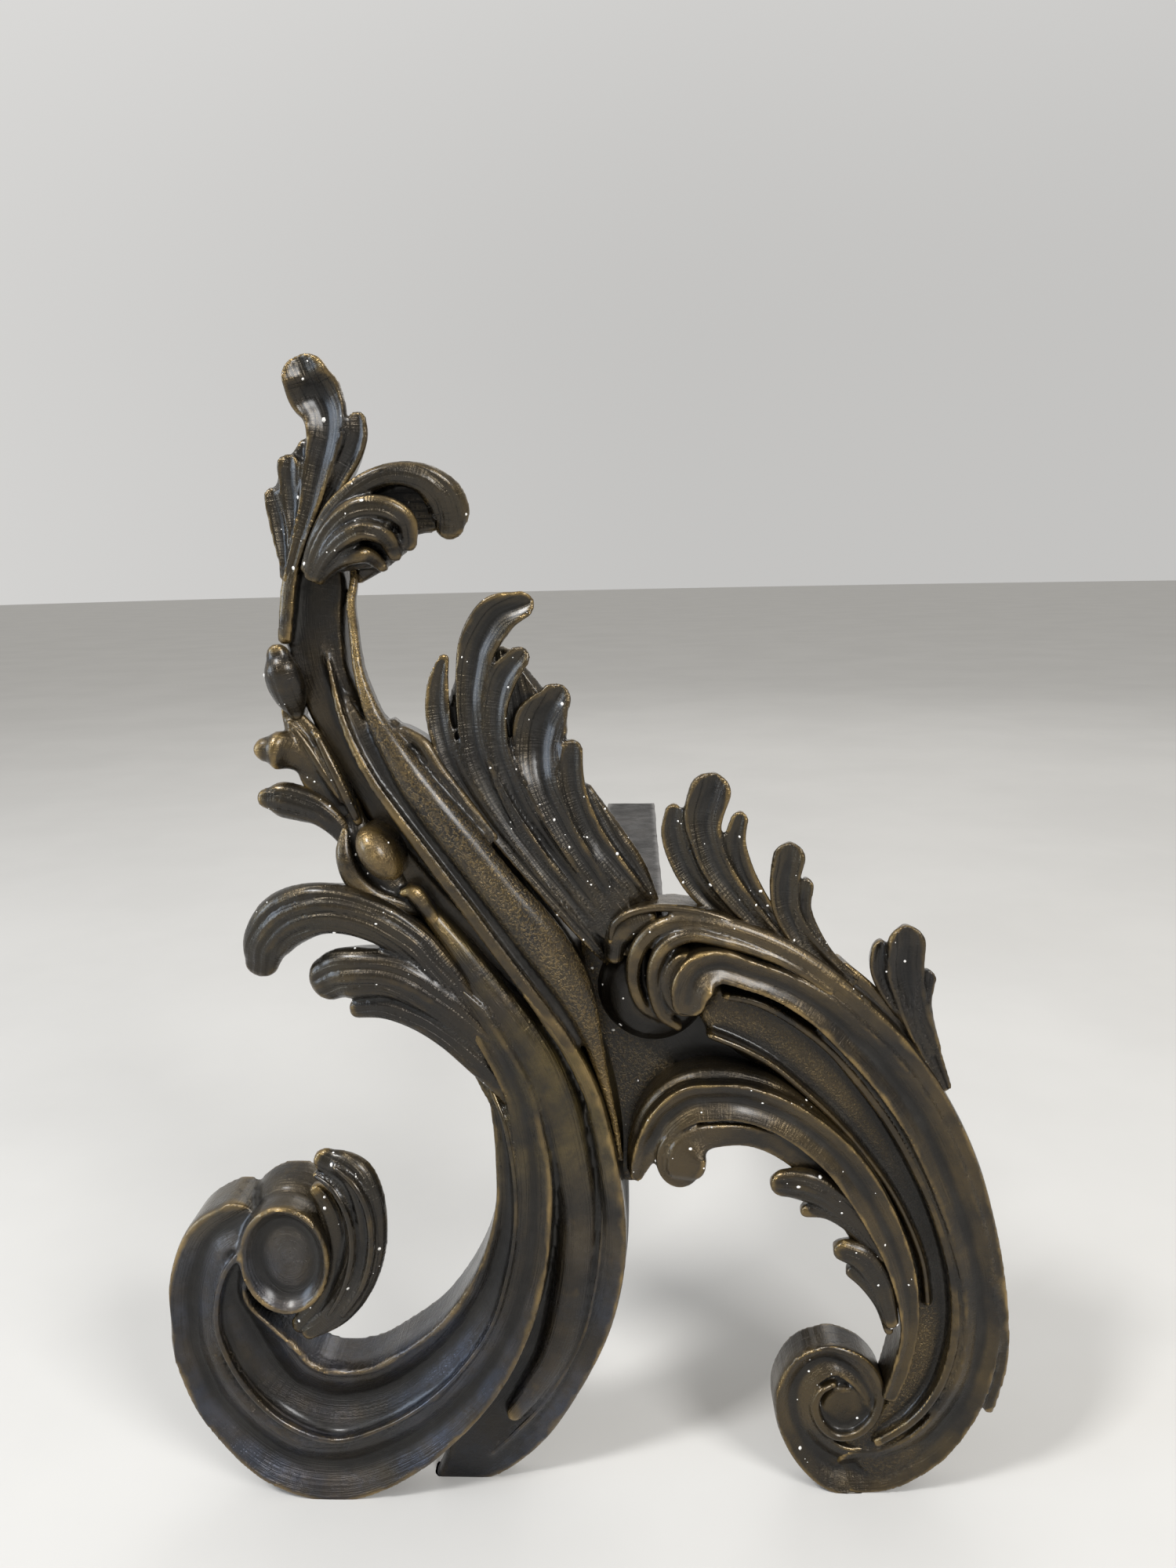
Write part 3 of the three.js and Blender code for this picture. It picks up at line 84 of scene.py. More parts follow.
# Each casting's strands, in the order in which beads are rolled and splashes are drawn.
CASTINGS = {}
CASTINGS["crest_leaf"] = [
    rib("flat", 5, "open", (-52.3, 198.8, 2.8, -1), (-54.1, 193.3, 4.9, -0.5),
        (-55.3, 188.3, 4.4, 0), (-56.7, 183.2, 2.8, 0), (-58.1, 178.7, 1.4, 0)),
    rib("cove", 5, "tip", (-51.8, 210.1, 3.9, -5.5), (-51, 207.7, 4.5, -3.5),
        (-49.7, 204.7, 3.8, -3), (-49.7, 201, 3.2, -3), (-51, 196.8, 2.6, -2.5),
        (-52.9, 190.6, 1.9, -2.5), (-55.1, 184.4, 1.3, -2.5), (-57.5, 178.1, 0.9, -2)),
    rib("cove", 5, "tip", (-56.1, 196.4, 2, -2.5), (-56.3, 193.9, 1.8, -2),
        (-56.2, 190.1, 1.6, -1.5), (-56.1, 185.7, 1.2, -1.5), (-57.1, 181.3, 0.8, -1)),
    rib("cove", 5, "tip", (-59.4, 191.8, 1.4, -1.5), (-58.9, 189, 1.7, -1.2),
        (-58.4, 185.1, 1.6, -1), (-58.1, 180.6, 1, -1)),
    rib("cove", 5, "tip", (-44.3, 203.3, 1.5, -2.5), (-44.5, 200.9, 1.8, -2.5),
        (-45.9, 197.7, 1.8, -2), (-47.9, 194.3, 1.5, -2), (-50.9, 190, 1.3, -1.5),
        (-53.8, 185, 0.9, -1.5)),
]
CASTINGS["crest_curl"] = [
    rib("ribs3", 5, "tip", (-30.3, 186.7, 2.6, -1), (-30.2, 188.4, 3.5, -2),
        (-31, 191.3, 3.4, -3.5), (-34, 193.9, 2.5, -4.5), (-38.7, 194.6, 1.9, -5),
        (-43.9, 192.8, 1.8, -5), (-48.6, 189.2, 1.7, -4.5), (-51.9, 184.5, 1.3, -4),
        (-54.2, 179.9, 0.9, -3)),
    rib("flat", 5, "open", (-50.6, 184.3, 2.4, 0), (-46.5, 188.1, 4.4, 0.5), (-40, 189.3, 5.2, 1),
        (-34.1, 189.2, 3.9, 1.5)),
    rib("flat", 5, "open", (-52.1, 180.3, 1.8, -1), (-48.2, 182, 2.9, -1.4),
        (-43.6, 183.7, 3.9, -1.6), (-39.4, 184.3, 2.9, -1.6), pits=0.5),
    rib("ribs2", 5, "tip", (-36.6, 183.7, 1.4, -4), (-36.7, 187.1, 1.9, -6.2),
        (-39.9, 189.2, 2, -7.4), (-44.6, 189, 1.9, -7.4), (-48.8, 186.2, 1.6, -6.4),
        (-51.9, 182.3, 1.2, -5), (-53.8, 178.6, 0.8, -3)),
    rib("ribs2", 5, "tip", (-38.9, 182, 1.3, -4.6), (-40, 184.7, 1.6, -7.4),
        (-43.2, 185.7, 1.6, -8.6), (-47.1, 184.1, 1.5, -7.6), (-50.5, 181.2, 1.1, -5.4),
        (-52.9, 178.2, 0.8, -3)),
    rib("round", 5, "tip", (-41.3, 180, 1, -3.6), (-43.2, 181.8, 1.4, -6.4),
        (-46.3, 181.5, 1.3, -6.4), (-49.5, 180, 1, -4.6), (-52.2, 177.7, 0.7, -2.4)),
    rib("round", 5, "tip", (-39.6, 184.1, 2.8, -2), (-43, 181, 2.1, -0.5), (-46.4, 178.3, 1.2, 1)),
]
CASTINGS["bud_upper"] = [
    rib("round", 6, "tip", (-59.7, 165.5, 2.1, -4), (-59.3, 163.4, 3, -5),
        (-58.8, 160.5, 3.3, -4.5), (-58.4, 157.7, 2.6, -3), (-58, 155.4, 1.3, -1)),
]
CASTINGS["bud_middle"] = [
    rib("round", 6, "tip", (-62.8, 149.6, 2.3, -3.5), (-61.1, 149.4, 3.5, -4),
        (-58.7, 148.5, 3.2, -2), (-56.1, 146.1, 2.2, -1), (-53.4, 142, 1.1, 0)),
    rib("flat", 6, "open", (-59.6, 156.6, 1.3, 0), (-58.4, 153.9, 2.2, -0.2),
        (-56.6, 150.1, 3.2, -0.4), (-54.6, 144.3, 3.5, -0.4), (-51.5, 138.1, 2.5, 0)),
    rib("line", 6, "tip", (-59, 153.6, 0.7, -1), (-56.1, 149.6, 0.8, -1.5),
        (-53.4, 144.8, 0.8, -1.5), (-50.7, 140.2, 0.7, -1)),
    rib("line", 6, "tip", (-54.7, 151.8, 0.7, -1), (-52.3, 146.9, 0.9, -2), (-50, 141.4, 0.9, -2),
        (-48.3, 136.3, 0.7, -1)),
]
CASTINGS["husk_leaf"] = [
    rib("ribs3", 6, "tip", (-63.8, 140.8, 1.9, -1.5), (-61.7, 140.6, 3.2, -2),
        (-58.2, 139.7, 3.2, -2), (-54.9, 138.3, 2.6, -2), (-52.1, 135.6, 2, -1.5),
        (-50.4, 132.4, 1.2, -1)),
]
CASTINGS["berry"] = [
    boss("egg", 5, -44.2, 131.4, 5.4, 3.4, -7.4, tilt=57),
]
CASTINGS["berry_cup"] = [
    rib("round", 6, "open", (-49.8, 139.4, 1.4, 0.4), (-49.3, 135.6, 2.5, -0.4),
        (-48.1, 130.7, 4.6, -1), (-45, 125.9, 4.4, -1), (-41.4, 122, 2.2, -0.5)),
    rib("round", 6, "tip", (-50.7, 134.8, 0.8, -1.5), (-50.7, 131, 1.6, -3),
        (-49.3, 126.7, 2, -3.2), (-46.1, 123.3, 1.8, -2.8), (-42.3, 121.7, 1.4, -2),
        (-38.3, 120.3, 1, -1.5)),
    rib("round", 6, "tip", (-40.7, 124, 0.8, -2.5), (-38.9, 123.8, 1.6, -3),
        (-36.6, 120.4, 1.4, -2.5), (-34, 116.4, 1.1, -2), (-31, 111.7, 1, -1)),
]
CASTINGS["side_leaf"] = [
    rib("ribs4", 7, "tip", (-22.7, 89.3, 0.6, -0.5), (-24.2, 93.3, 1.1, -1.4),
        (-26.5, 97.5, 1.5, -2.2), (-32.8, 107, 3, -4), (-39.8, 115.6, 3.7, -5),
        (-47.6, 120.3, 4.2, -5.5), (-55, 121.6, 4.7, -5.5), (-61.6, 119.4, 5.2, -4.5),
        (-65.9, 114.8, 4.4, -3), (-67.3, 110.7, 3.1, -1.5)),
    rib("ribs3", 7, "tip", (-22.2, 83.2, 0.6, -1), (-23.2, 88.4, 1.1, -1.8),
        (-25.2, 93.2, 1.5, -2.6), (-29.7, 98.9, 2.6, -4), (-34.8, 104.2, 3.3, -5),
        (-42.6, 109.3, 4.1, -6), (-51, 109.7, 4.8, -5.5), (-54.9, 108.3, 4.1, -4)),
    rib("ribs2", 7, "tip", (-21.8, 75.7, 0.4, -0.8), (-22.7, 81.4, 1, -1.6),
        (-24.7, 86.7, 1.5, -2.4), (-29.3, 92.8, 2.2, -3.5), (-33.9, 97.7, 2.4, -4),
        (-39.3, 101.1, 2.1, -4), (-44.8, 103.2, 2.1, -4), (-50, 102.8, 1.8, -3)),
]
CASTINGS["mid_leaf"] = [
    rib("flat", 5, "open", (-24.8, 163, 5.6, 0), (-23.2, 153.6, 10.2, 0), (-21.6, 145.4, 9.7, 0),
        (-17.8, 137.1, 9, 0), (-12.2, 128.9, 7.9, -0.9), (-6.9, 122, 6.3, -1.7),
        (-3.5, 117.4, 3.8, -1.7), (-1.3, 114, 3, -0.8)),
    rib("flat", 5, "open", (-10.2, 139.9, 3.5, -0.5), (-6.7, 132.9, 4.6, -0.6),
        (-3, 126.6, 4.9, -0.6), (-0.1, 121.2, 4.1, -0.2), (2, 117, 2.8, 0.6)),
    rib("cove", 5, "tip", (-18.7, 173.2, 2.4, -4), (-22.7, 171.5, 3.6, -4),
        (-25.8, 167.2, 3.4, -3.5), (-27.1, 162.6, 2.9, -3), (-27.8, 156.7, 2.4, -3),
        (-27.4, 150.7, 2.3, -3), (-25.7, 144.6, 2.3, -3), (-22.2, 137.8, 2.1, -3),
        (-17.7, 130.9, 1.9, -3), (-11.9, 123, 1.5, -2.5), (-7.3, 116.3, 1.2, -1.5),
        (-3.9, 110.7, 0.8, 3)),
    rib("cove", 5, "tip", (-31.9, 164.4, 1, -2.5), (-33, 160.7, 1.8, -2.5),
        (-33.3, 155.4, 2.2, -2.5), (-32.1, 149.4, 2.1, -3), (-29.7, 143.3, 1.9, -3),
        (-25.9, 137.2, 1.6, -3), (-20.5, 129.9, 1.3, -3), (-14.6, 122.5, 1.2, -3),
        (-8.4, 114.5, 1, -1.8), (-5.2, 109, 0.7, 3)),
    rib("cove", 5, "tip", (-19.3, 164.5, 2, -3.5), (-22.1, 161.1, 2.6, -3), (-23.5, 156, 2.2, -3),
        (-23.5, 150.7, 2.1, -3), (-22.4, 145.3, 2.3, -3), (-19.7, 138.4, 2.3, -3),
        (-15.9, 132.1, 2, -2.5), (-11.4, 126.2, 1.6, -2.5), (-6.6, 119, 1.2, -2),
        (-3.8, 114.9, 1, -1), (-1.1, 110.4, 0.7, 3)),
    rib("cove", 5, "tip", (-13.5, 157.3, 2.9, -3), (-15.8, 153.5, 4.8, -2.5),
        (-16.6, 148.7, 4.1, -2.5), (-15.8, 143, 3.1, -3.4), (-13.4, 136.8, 2.5, -3.4),
        (-9.9, 130.5, 2.1, -3.2), (-5.1, 122.8, 1.5, -2), (-1.1, 116.9, 1.1, -1),
        (1.7, 112.1, 0.7, 3)),
    rib("cove", 5, "tip", (-10.7, 148.7, 1.9, -3), (-10.8, 144.4, 2.1, -3), (-9.9, 139.7, 2.1, -3),
        (-7.6, 134.1, 2.1, -2.5), (-4.1, 128.9, 1.9, -2.5), (0.4, 122.9, 1.5, -1.5),
        (3.7, 117.2, 1, 2.6)),
]
CASTINGS["volute_shell"] = [
    rib("ribs3", 1.5, "tip", (-57.2, 73.3, 2.6, -3), (-52.9, 70.7, 4.3, -4.5),
        (-50.9, 64.8, 4.3, -5), (-51, 56.4, 3.9, -4.6), (-53.6, 48.6, 3.6, -3.6),
        (-57.8, 42.1, 2.9, -2.4), (-63.5, 37.3, 1.5, -1)),
    rib("round", 2, "tip", (-59.7, 66.5, 1.7, -1.5), (-57.5, 62.4, 2.9, -2),
        (-56.7, 56.4, 3.2, -2), (-57.8, 49.6, 2.9, -1.5), (-60.7, 43.8, 2.7, -1),
        (-65.2, 38.1, 2.1, 0)),
    rib("line", 4, "tip", (-59.7, 70.9, 0.4, -2.6), (-55.9, 69, 0.6, -4.6),
        (-53.3, 63.8, 0.6, -5.4), (-53, 56.8, 0.6, -5.2), (-55.2, 48.9, 0.6, -4),
        (-59, 42.1, 0.4, -2.4)),
    rib("line", 4, "tip", (-55.5, 73.2, 0.4, -4), (-51.5, 70.3, 0.6, -5.8),
        (-49.3, 64.9, 0.6, -6.2), (-49.4, 57.2, 0.6, -5.8), (-51.8, 49.3, 0.6, -4.6),
        (-56.1, 42.6, 0.4, -3)),
]
CASTINGS["sprig_upper"] = [
    rib("cove", 6, "tip", (12.6, 141.1, 3.7, -3), (11.5, 137, 3.5, -2.5), (11.8, 133.1, 2.9, -2.5),
        (13.4, 128.4, 2.7, -2.5), (16.5, 123.4, 2.4, -2.5), (21, 117.9, 1.9, -2),
        (26, 112.6, 1.2, -2)),
    rib("cove", 6, "tip", (6.4, 137.4, 1.6, -1.5), (6.2, 133.7, 2, -1.5), (7.5, 129.1, 2, -1.5),
        (10.2, 124.2, 1.9, -1.5), (14.3, 119.5, 1.5, -1.5), (18.9, 115.3, 1, -1)),
    rib("cove", 6, "tip", (17.6, 136, 1.6, -2), (16.9, 132.4, 1.9, -2), (17.7, 127.9, 2.2, -2),
        (19.6, 123.5, 2.2, -2), (22.9, 118.6, 1.8, -1.5), (27.4, 112.8, 1.2, -1.5)),
]
CASTINGS["sprig_middle"] = [
    rib("cove", 6, "tip", (26, 129.3, 2.9, -3), (25.4, 124.6, 2.6, -2), (25.8, 120.1, 2.4, -2),
        (28, 115.6, 2.2, -2), (31.9, 111, 1.8, -2), (36.6, 106.2, 1.2, -1.5)),
    rib("cove", 6, "tip", (29.1, 124.1, 1.5, -1.5), (28.6, 120.2, 1.6, -1.5),
        (30, 115.7, 1.8, -1.5), (33, 111.1, 1.6, -1.5), (37.7, 107, 1.1, -1.5)),
]
CASTINGS["sprig_lower"] = [
    rib("cove", 6, "tip", (42.2, 112.7, 1.6, -1.5), (42, 109.3, 1.6, -1.5),
        (43.4, 105.6, 1.6, -1.5), (46.3, 101.1, 1.5, -1.5)),
    rib("cove", 6, "tip", (46.4, 113.8, 3.4, -3), (46.5, 108.9, 3.4, -2), (47.4, 104.3, 2.9, -2),
        (48.9, 99.4, 2.5, -2), (51.4, 93.5, 1.9, -1.5), (54.1, 87.1, 1.2, -1.5)),
    rib("cove", 6, "tip", (50.4, 107.2, 1.6, -1.5), (49.8, 103.2, 1.6, -1.5),
        (50.3, 98.9, 1.7, -1.5), (51.9, 94.2, 1.4, -1.5)),
]
CASTINGS["inner_leaf_upper"] = [
    rib("ribs3", 7, "tip", (26.3, 67.8, 2.8, -1), (30.1, 67.5, 3.3, -1.5), (35.1, 64.6, 2.8, -1),
        (40.3, 59.6, 2.3, -0.5), (44.5, 53, 1.4, 0)),
    rib("round", 7, "tip", (30.4, 62, 1.3, 0), (34.1, 61.6, 1.3, 0), (38.1, 59.1, 1.3, 0),
        (42.3, 54.3, 1.2, 0.5)),
]
CASTINGS["inner_leaf_lower"] = [
    rib("ribs2", 7, "tip", (37.5, 54.1, 2.3, -0.5), (40.9, 52.4, 2.7, -0.8), (44.3, 47, 2.3, -0.5),
        (46.3, 39.4, 1.5, 0)),
    rib("round", 7, "tip", (39, 49.3, 1.3, 0.5), (41.6, 46.8, 1.3, 0.5), (44.4, 42.6, 1.2, 0.5),
        (46.1, 37, 0.9, 1)),
]
CASTINGS["foot_volute"] = [
    boss("drum", 9.5, 35.5, 16.2, 9.1, 12.1, 4.5),
    band("cove", 9.5, "open", (45.1, 11, 46.8, 0.3, 3.4), (39.8, 11.3, 40.6, -0.1, 2.4),
        (36.8, 12.5, 34.5, 1.7, 2.4), (34, 15.6, 29, 7.7, 2.3), (32.4, 19.4, 25.6, 15.6, 2.2),
        (32.7, 23.5, 25.2, 23.4, 2.2), (34.7, 25.8, 28.7, 30.3, 2.2),
        (36.8, 26.5, 34.3, 32.7, 2.2), (39.2, 24.8, 40, 30.1, 2.3), (41.4, 22.3, 43.5, 25.3, 2.5),
        (43, 19.4, 44.9, 19.7, 2.8)),
    rib("line", 9.5, "open", (31.2, 31.2, 0.4, 2.8), (35.5, 32.5, 0.7, 2.2),
        (40.2, 30.8, 0.9, 2.1), (43.5, 27.6, 0.9, 2.1), (45.1, 23.7, 0.9, 2),
        (44.7, 19.8, 0.9, 1.8), (43.1, 16.6, 0.9, 1.6), (40.1, 14.3, 0.9, 1.5),
        (36.7, 14.1, 0.9, 1.5), (33.9, 16.4, 0.9, 1.5), (32.6, 20.2, 0.9, 1.6),
        (33.7, 23.3, 0.7, 2), (36.4, 24.2, 0.6, 3)),
    boss("drum", 9.5, 38.7, 18.7, 5, 5, 3.2),
]
CASTINGS["inner_scroll"] = [
    boss("drum", 9, 7, 74.2, 4.4, 5.6, -3.4),
    rib("round", 9, "open", (-1.7, 70.1, 0.9, 1), (-1, 75.3, 1.3, 0), (1, 80.6, 1.8, -0.8),
        (4.7, 85, 2.3, -1.2), (9.6, 87.5, 2.5, -1.4), (15.2, 87.9, 2.5, -1.4),
        (22.2, 86.1, 2.5, -1), (28.6, 82.1, 2.4, -0.6), (35.1, 76.2, 2.1, 0),
        (40.5, 69.6, 1.7, 0.5), (44.5, 62.6, 1.3, 1)),
    rib("cove", 9, "tip", (-0.8, 69.4, 1.3, 0), (0.5, 73.9, 2.1, -2), (2.1, 77.6, 2.7, -3),
        (4.5, 81.6, 3.2, -3.8), (8.4, 84.6, 3.7, -4), (12.3, 85.3, 3.7, -4),
        (18.9, 84.8, 3.6, -3.6), (26.9, 81.1, 3.5, -2.8), (34.9, 74.3, 3.5, -2.2),
        (40.1, 67.3, 3.4, -2), (44.3, 59.4, 3.1, -1.5), (47.5, 51.3, 2.6, -1), (49.3, 43, 2, -0.5),
        (49.6, 36.2, 1.6, 0), (48.4, 29.2, 1.6, 0.5), (46.6, 23, 1.3, 1)),
    rib("flat", 9, "open", (8, 73.1, 3.6, -4.4), (8.5, 75.7, 3.6, -4.2), (10.1, 77.5, 3.1, -3.4),
        (12.9, 78.2, 2.4, -2.4), (19.5, 77.6, 2.1, -1), (26, 74.6, 2.3, 0.2),
        (32.6, 69.4, 3.2, 1.5), (39.3, 61.3, 3.8, 2), (43.8, 52.5, 3.2, 2), (46.6, 44.5, 2.6, 2)),
]
CASTINGS["scroll_head"] = [
    rib("flat", 5, "open", (-3, 114.4, 1.4, 1.5), (0.2, 116.7, 2.8, 1.5), (5.1, 116.4, 3.3, 1.5),
        (11.3, 115.4, 3, 1.5), (17.5, 114.2, 1.7, 1.5)),
    rib("line", 5, "tip", (-4.8, 114.9, 0.5, -2.5), (-4, 118.3, 0.7, -3.5), (-1.2, 120.4, 0.7, -4),
        (3.4, 121.3, 0.7, -4), (8.5, 120.9, 0.7, -4), (13.7, 119.6, 0.7, -4),
        (19.1, 117.2, 0.5, -3.5)),
    rib("line", 5, "tip", (5, 117.5, 0.5, -3), (5.8, 119.5, 0.5, -3), (6.1, 120.4, 0.4, -3)),
    # Painted shade: the dark drum behind the head is coloured black as if in shadow.
    boss("dome", 8, 2.7, 104.3, 10.7, 11, -0.6, soot=1.0),
    boss("drum", 8, 6.8, 107.7, 5.2, 6.4, -3.4),
    boss("drum", 8, 8.1, 107.7, 4.2, 6, -5),
    rib("round", 6, "open", (3.8, 100, 0.7, -0.8), (0.7, 102.9, 1.1, -2.2),
        (-0.9, 107.9, 1.2, -3.2), (-0.2, 113, 1.5, -3.9), (2.5, 116.8, 1.6, -4.3),
        (7.1, 118.6, 1.7, -4.5), (13.6, 117.9, 1.9, -4.5), (19.7, 116, 1.9, -4.4),
        (26.4, 112.8, 1.8, -4.2), (33.2, 108.1, 1.6, -4), (39.4, 102.9, 1.4, -3.6)),
    rib("round", 6, "open", (7, 98.7, 0.7, -2), (4.1, 101.7, 1.1, -3.6), (2.7, 106.8, 1.2, -4.8),
        (3, 111.5, 1.3, -5.4), (5.1, 115, 1.3, -5.6), (9.2, 116.6, 1.2, -5.6),
        (14.3, 115.5, 1.1, -5.3), (20.3, 113.5, 0.9, -4.9), (26.7, 110.5, 0.8, -4.5),
        (33.2, 105.9, 0.8, -4.1)),
]
CASTINGS["scroll_upper"] = [
    # Painted shade: the first strand's face is darkened a quarter of the way, as if in shadow.
    rib("flat", 9, "open", (-52.3, 184.4, 3.2, 1.5), (-53.4, 181.2, 4.5, 1),
        (-54.1, 177.3, 5.6, 1), (-54.7, 172.1, 5.7, 1), (-54.3, 166.8, 5.1, 1),
        (-53.3, 160.7, 4.8, 1), (-50.1, 153.1, 5.2, 1.5), (-44.8, 144.7, 6.8, 2),
        (-38.2, 136.2, 8.3, 2), (-31.6, 126.9, 8.9, 2), (-24.5, 116.8, 9.2, 2),
        (-18, 106.8, 8.7, 2), (-14.5, 99.3, 7.4, 2), soot=0.25),
    rib("edge", 9, "open", (-56.6, 180.4, 1.2, -2), (-57.6, 176.8, 1.3, -2),
        (-58.3, 172.3, 1.3, -2), (-59, 168.3, 1.2, -1.5)),
    rib("round", 3, "open", (-47.6, 182.5, 0.5, 1), (-46.9, 178.3, 0.7, 0),
        (-47.5, 174.2, 0.8, -1), (-47.3, 170, 0.8, -1), (-46.7, 163.5, 0.9, -2),
        (-45.5, 159, 1.2, -3), (-43.9, 154.6, 1.6, -3.5), (-41.3, 150.1, 2.2, -4.5),
        (-37.5, 143.9, 3, -5.5), (-32.7, 137.2, 3.4, -6), (-28.1, 131, 3.6, -6),
        (-23.6, 124.8, 3.7, -6), (-17.4, 116.4, 4.2, -6), (-13, 109.4, 3.8, -5.5),
        (-10.1, 102.9, 2.9, -4.3), (-8.1, 95.8, 1.8, -2.6), (-6.5, 88.3, 1.1, -1),
        (-4.8, 79.9, 0.7, 0.6), (-3.7, 71.7, 0.6, 1.6), pits=1.0),
    rib("round", 4, "open", (-39.5, 152.6, 0.9, -2.6), (-36, 150.2, 1.3, -3.4),
        (-33.2, 145.5, 1.3, -3.6), (-29.2, 140.1, 1.1, -3.4), (-24.4, 133.7, 0.8, -3)),
    rib("flat", 4, "open", (-41.4, 153.3, 1.3, -1), (-37.7, 148.4, 2.1, -2),
        (-34.1, 142.7, 1.9, -2.4)),
    rib("flat", 9, "open", (-50.4, 158.8, 0.7, 0.9), (-47.8, 153.8, 1.6, -1),
        (-44.7, 147.5, 2, -2.6), (-40.7, 140.4, 1.6, -3), (-35.6, 132.5, 1.2, -3.2),
        (-28.6, 122.7, 1.2, -3.2), (-22.1, 113, 1.2, -3.2), (-15.6, 104.1, 1.2, -3),
        (-11.2, 96.2, 1, -2)),
    rib("edge", 9, "open", (-53, 168.7, 0.4, 1.4), (-51.6, 161.9, 0.5, -0.6),
        (-49.7, 154.3, 0.7, -2.2), (-46.1, 146.4, 0.8, -3.8), (-41.8, 139.5, 0.9, -4.5),
        (-36.7, 131.9, 1.1, -4.5), (-29.8, 121.9, 1.2, -4.5), (-23.3, 112.3, 1.2, -4.5),
        (-17.1, 103.3, 1.2, -4.4), (-13.1, 97, 1.2, -4), (-10.3, 90.4, 1.1, -3)),
    rib("flat", 9, "open", (-43, 130.2, 2.8, 1), (-37.1, 121.5, 3.6, 1), (-31.2, 113.5, 4.7, 1),
        (-24.6, 103.7, 5.6, 1.5), (-17.8, 94.5, 6.3, 2), (-12.3, 85.2, 6.3, 2.5)),
]
